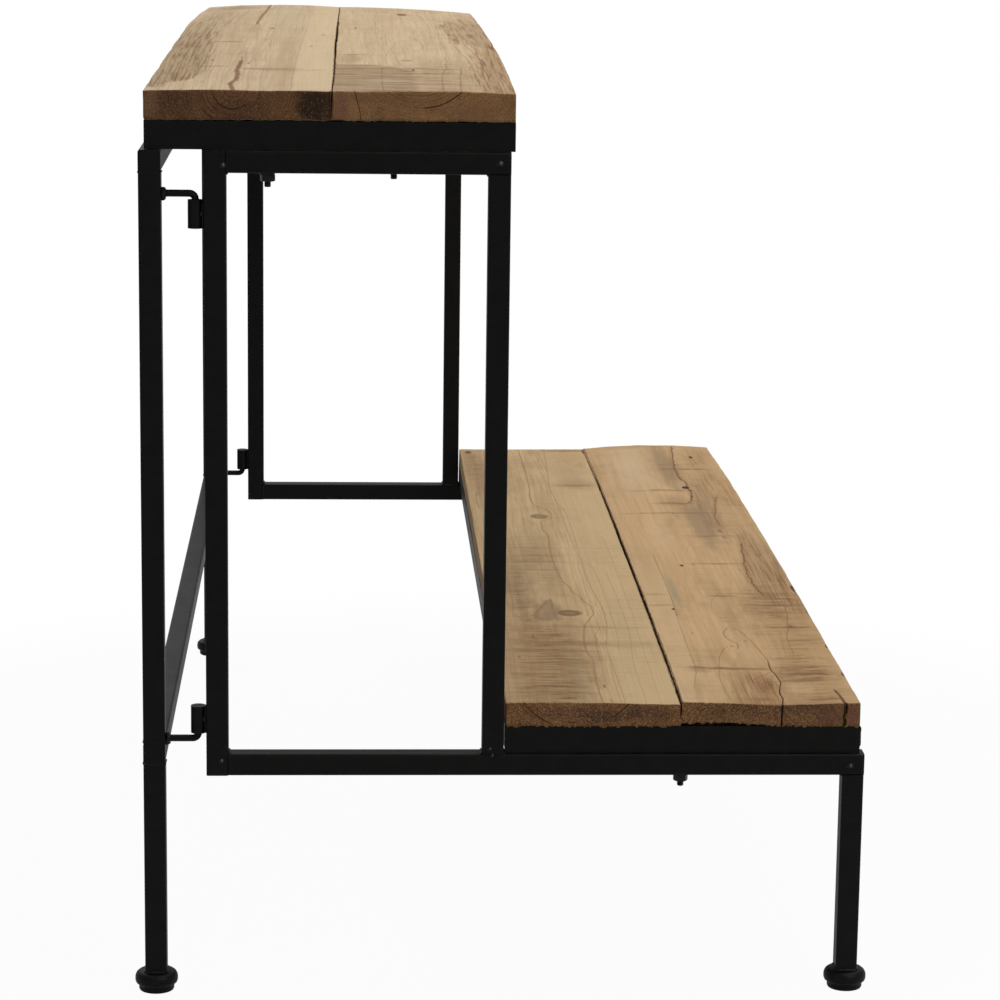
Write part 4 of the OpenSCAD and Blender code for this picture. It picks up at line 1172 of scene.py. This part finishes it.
def tray_corner_welds():
    """Upright beads on the front corners of the lower tray."""
    shape = Shape()
    (s0, s1), (_, u1), (z0, z1) = place("lower_tray_front_bar")
    for n, s in enumerate((s0 + 1.2, s1 - 1.2)):
        bead(shape, (s, u1 - 0.1, z0 + 2), (s, u1 - 0.1, z1 - 1), 1.7, n + 90)
    shape.piece("lower_tray_corner_welds", WELD, "lower_shelf")


rear_frame_welds()
for side_name in ENDS:
    end_frame_welds(side_name)
tray_corner_welds()


def turned(s, u, z, radius, segments, turn=0.0):
    """Points round an upright axis. The radius is a number, or a function of the angle."""
    row = []
    for j in range(segments):
        angle = 2 * math.pi * j / segments
        r = radius(angle) if callable(radius) else radius
        row.append(at(s + r * math.cos(angle + turn), u + r * math.sin(angle + turn), z))
    return row[::-1]


def lathe(shape, s, u, profile, segments=40):
    """A turned form about an upright axis, from (radius, height) points, from the bottom up."""
    shape.skin([turned(s, u, z, r, segments) for r, z in profile])


def threaded(shape, s, u, z_tip, z_top, z_plain, radius=3.0, pitch=1.0):
    """A bolt's shank, with a real thread from its tip up to z_top and plain above to z_plain."""
    rows = []
    z = z_tip
    while z <= z_top:
        lead = (z - z_tip) / pitch
        chamfered = radius * min(1.0, 0.72 + (z - z_tip) / (radius * 0.9))

        def cut(angle):
            tooth = abs((lead - angle / (2 * math.pi)) % 1.0 * 2 - 1)
            return min(radius - 0.55 * (1 - tooth), chamfered)

        rows.append(turned(s, u, z, cut, 20))
        z += pitch / 8
    rows += [turned(s, u, height, radius - 0.03, 20) for height in (z_top + 0.2, z_plain)]
    shape.skin(rows)


def hex_nut(shape, s, u, z0, z1, turn, flats=11.5):
    """A nut with its corners chamfered top and bottom."""
    rows = []
    corner = flats / 2 / math.cos(math.pi / 6) - 0.12
    for z in (z0, z0 + 0.25, z0 + 0.6, z0 + 1.0, (z0 + z1) / 2, z1 - 1.0, z1 - 0.6, z1 - 0.25, z1):
        limit = flats / 2 - 0.1 + min(z - z0, z1 - z) * 1.5

        def edge(angle):
            part = (angle + math.pi / 6) % (math.pi / 3) - math.pi / 6
            return min(flats / 2 / math.cos(part), limit, corner)

        rows.append(turned(s, u, z, edge, 60, turn))
    shape.skin(rows)


# (radius, height) points, from the bottom up
FOOT = [
    (6.0, 0.0), (13.2, 0.0), (14.8, 0.5), (15.4, 1.5), (15.5, 3.4), (15.3, 5.2), (15.6, 6.0),
    (16.8, 6.5), (18.0, 7.3), (18.6, 8.8), (18.75, 10.6), (18.7, 12.4), (18.2, 14.4), (17.2, 16.0),
    (15.6, 17.2), (13.4, 17.8), (10.6, 18.0), (6.0, 18.05),
]
BOLT_HEAD = [(4.9, 0.05), (5.0, 0.3), (4.95, 1.0), (4.4, 1.7), (3.4, 1.95), (1.2, 2.0)]
# The bolts of an end frame: (u, the rail's underside, how far it stands out below, with a nut)
BOLTS = [(53.5, TOP_UNDER, 12.5, True), (159.5, TOP_UNDER, 5.0, False), (414.0, STEP_UNDER, 12.5, True)]


def foot(node, body):
    """A turned bun foot."""
    (s0, s1), (u0, u1), _ = place(node)
    shape = Shape()
    lathe(shape, (s0 + s1) / 2, (u0 + u1) / 2, FOOT, 56)
    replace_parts(shape.piece(node + "_turned", PAINT, body, sharp=50), node)


def fasteners(side):
    """The shelf bolts of one end frame with their thread, and the nuts."""
    outer, way = ENDS[side]
    s = outer + way * 12.5
    bolts = Shape()
    nuts = Shape()
    for n, (u, low, out, has_nut) in enumerate(BOLTS):
        high = low + TUBE
        threaded(bolts, s, u, low - out, low - 0.2, high + 0.1)
        lathe(bolts, s, u, [(r, high + z) for r, z in BOLT_HEAD])
        if has_nut:
            hex_nut(nuts, s, u, low - 7.6, low - 1.6, 0.2 + 0.37 * n)
    body = side + "_end_frame"
    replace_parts(bolts.piece(side + "_threaded_bolts", BOLT, body, "bolt_steel", 35), side + "_shelf_bolts")
    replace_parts(nuts.piece(side + "_hex_nuts", BOLT, body, "bolt_steel", 25), side + "_shelf_nuts")


for side_name in ENDS:
    fasteners(side_name)
    foot(side_name + "_rear_foot", "rear_frame")
    foot(side_name + "_front_foot", side_name + "_end_frame")


# Floor, backdrop and light, in metres

def looked_at(tree, shine):
    """One for the camera's rays, and a share for those that metal or glass sends on."""
    path = grow(tree, "LightPath").outputs
    shown = Value(tree, path["Is Glossy Ray"]) + Value(tree, path["Is Transmission Ray"])
    return Value(tree, path["Is Camera Ray"]) + shown * shine


def stage_white(name, share):
    """White that keeps a soft shadow. Rays that look at it see it nearly as bright as paper."""
    material = bpy.data.materials.new(name)
    material.use_nodes = True
    tree = material.node_tree
    tree.nodes.clear()
    diffuse = grow(tree, "BsdfDiffuse", {"Color": (0.5, 0.5, 0.5, 1)})
    glow = grow(tree, "Emission", {"Color": (1, 1, 1, 1), "Strength": 1.0})
    away = size_of(tree, grow(tree, "TexCoord").outputs["Object"]).step(0.65, 1.05, share, 1.0)
    shares = looked_at(tree, 0.35).clamp() * away
    mix = grow(tree, "MixShader", (shares, diffuse.outputs[0], glow.outputs[0]))
    grow(tree, "OutputMaterial", {"Surface": mix.outputs[0]})
    return material


FLOOR_X, FLOOR_Y = 1.3, 1.1
SIGNS = ((-1, -1), (1, -1), (1, 1), (-1, 1))
floor_mesh = bpy.data.meshes.new("floor")
floor_mesh.from_pydata([(i * FLOOR_X, j * FLOOR_Y, 0) for i, j in SIGNS], [], [(0, 1, 2, 3)])
floor_mesh.materials.append(stage_white("floor_white", 0.965))
floor = bpy.data.objects.new("floor", floor_mesh)
bpy.context.scene.collection.objects.link(floor)

world = bpy.data.worlds.new("studio")
bpy.context.scene.world = world
world.use_nodes = True
sky = world.node_tree
tones = {0: looked_at(sky, 0.3), 6: (0.16, 0.16, 0.163, 1), 7: (1, 1, 1, 1)}
paper = grow(sky, "Mix", tones, data_type="RGBA")
feed(sky, sky.nodes["Background"].inputs["Color"], paper.outputs[2])
sky.nodes["Background"].inputs["Strength"].default_value = 1.0


def lamp(name, position, target, size, watts):
    data = bpy.data.lights.new(name, "AREA")
    data.shape = "RECTANGLE"
    data.size, data.size_y = size
    data.energy = watts
    obj = bpy.data.objects.new(name, data)
    obj.location = position
    obj.rotation_euler = (Vector(target) - Vector(position)).to_track_quat("-Z", "Y").to_euler()
    bpy.context.scene.collection.objects.link(obj)


lamp("overhead", (0.7, -0.6, 5.2), (0.0, 0, 0.4), (4.2, 3.6), 152)
lamp("back", (4.2, 1.6, 3.0), (0, 0, 0.5), (2.4, 2.0), 16)
lamp("front_fill", (-3.6, -2.4, 3.2), (0, 0, 0.4), (2.4, 2.4), 45)

# Camera, in metres: a long lens along the stand, found from the photograph's edges

FOCAL_PIXELS = 3260.93
IMAGE_SIDE = 1000
SENSOR = 36
YAW, PITCH, ROLL = 0.04812, 0.20073, 0.01285
EYE = (-3.34222, 0.13946, 0.99913)

forward = Vector((math.cos(YAW) * math.cos(PITCH), -math.sin(YAW) * math.cos(PITCH), -math.sin(PITCH)))
right = Vector((-math.sin(YAW), -math.cos(YAW), 0))
down = forward.cross(right)
turned_right = right * math.cos(ROLL) - down * math.sin(ROLL)
turned_down = right * math.sin(ROLL) + down * math.cos(ROLL)
camera_data = bpy.data.cameras.new("camera")
camera_data.sensor_width = SENSOR
camera_data.lens = FOCAL_PIXELS * SENSOR / IMAGE_SIDE
camera_data.clip_end = 60
camera = bpy.data.objects.new("camera", camera_data)
camera.matrix_world = Matrix((turned_right, -turned_down, -forward)).transposed().to_4x4()
camera.location = EYE
bpy.context.scene.collection.objects.link(camera)
bpy.context.scene.camera = camera
bpy.context.scene.view_settings.view_transform = "Standard"
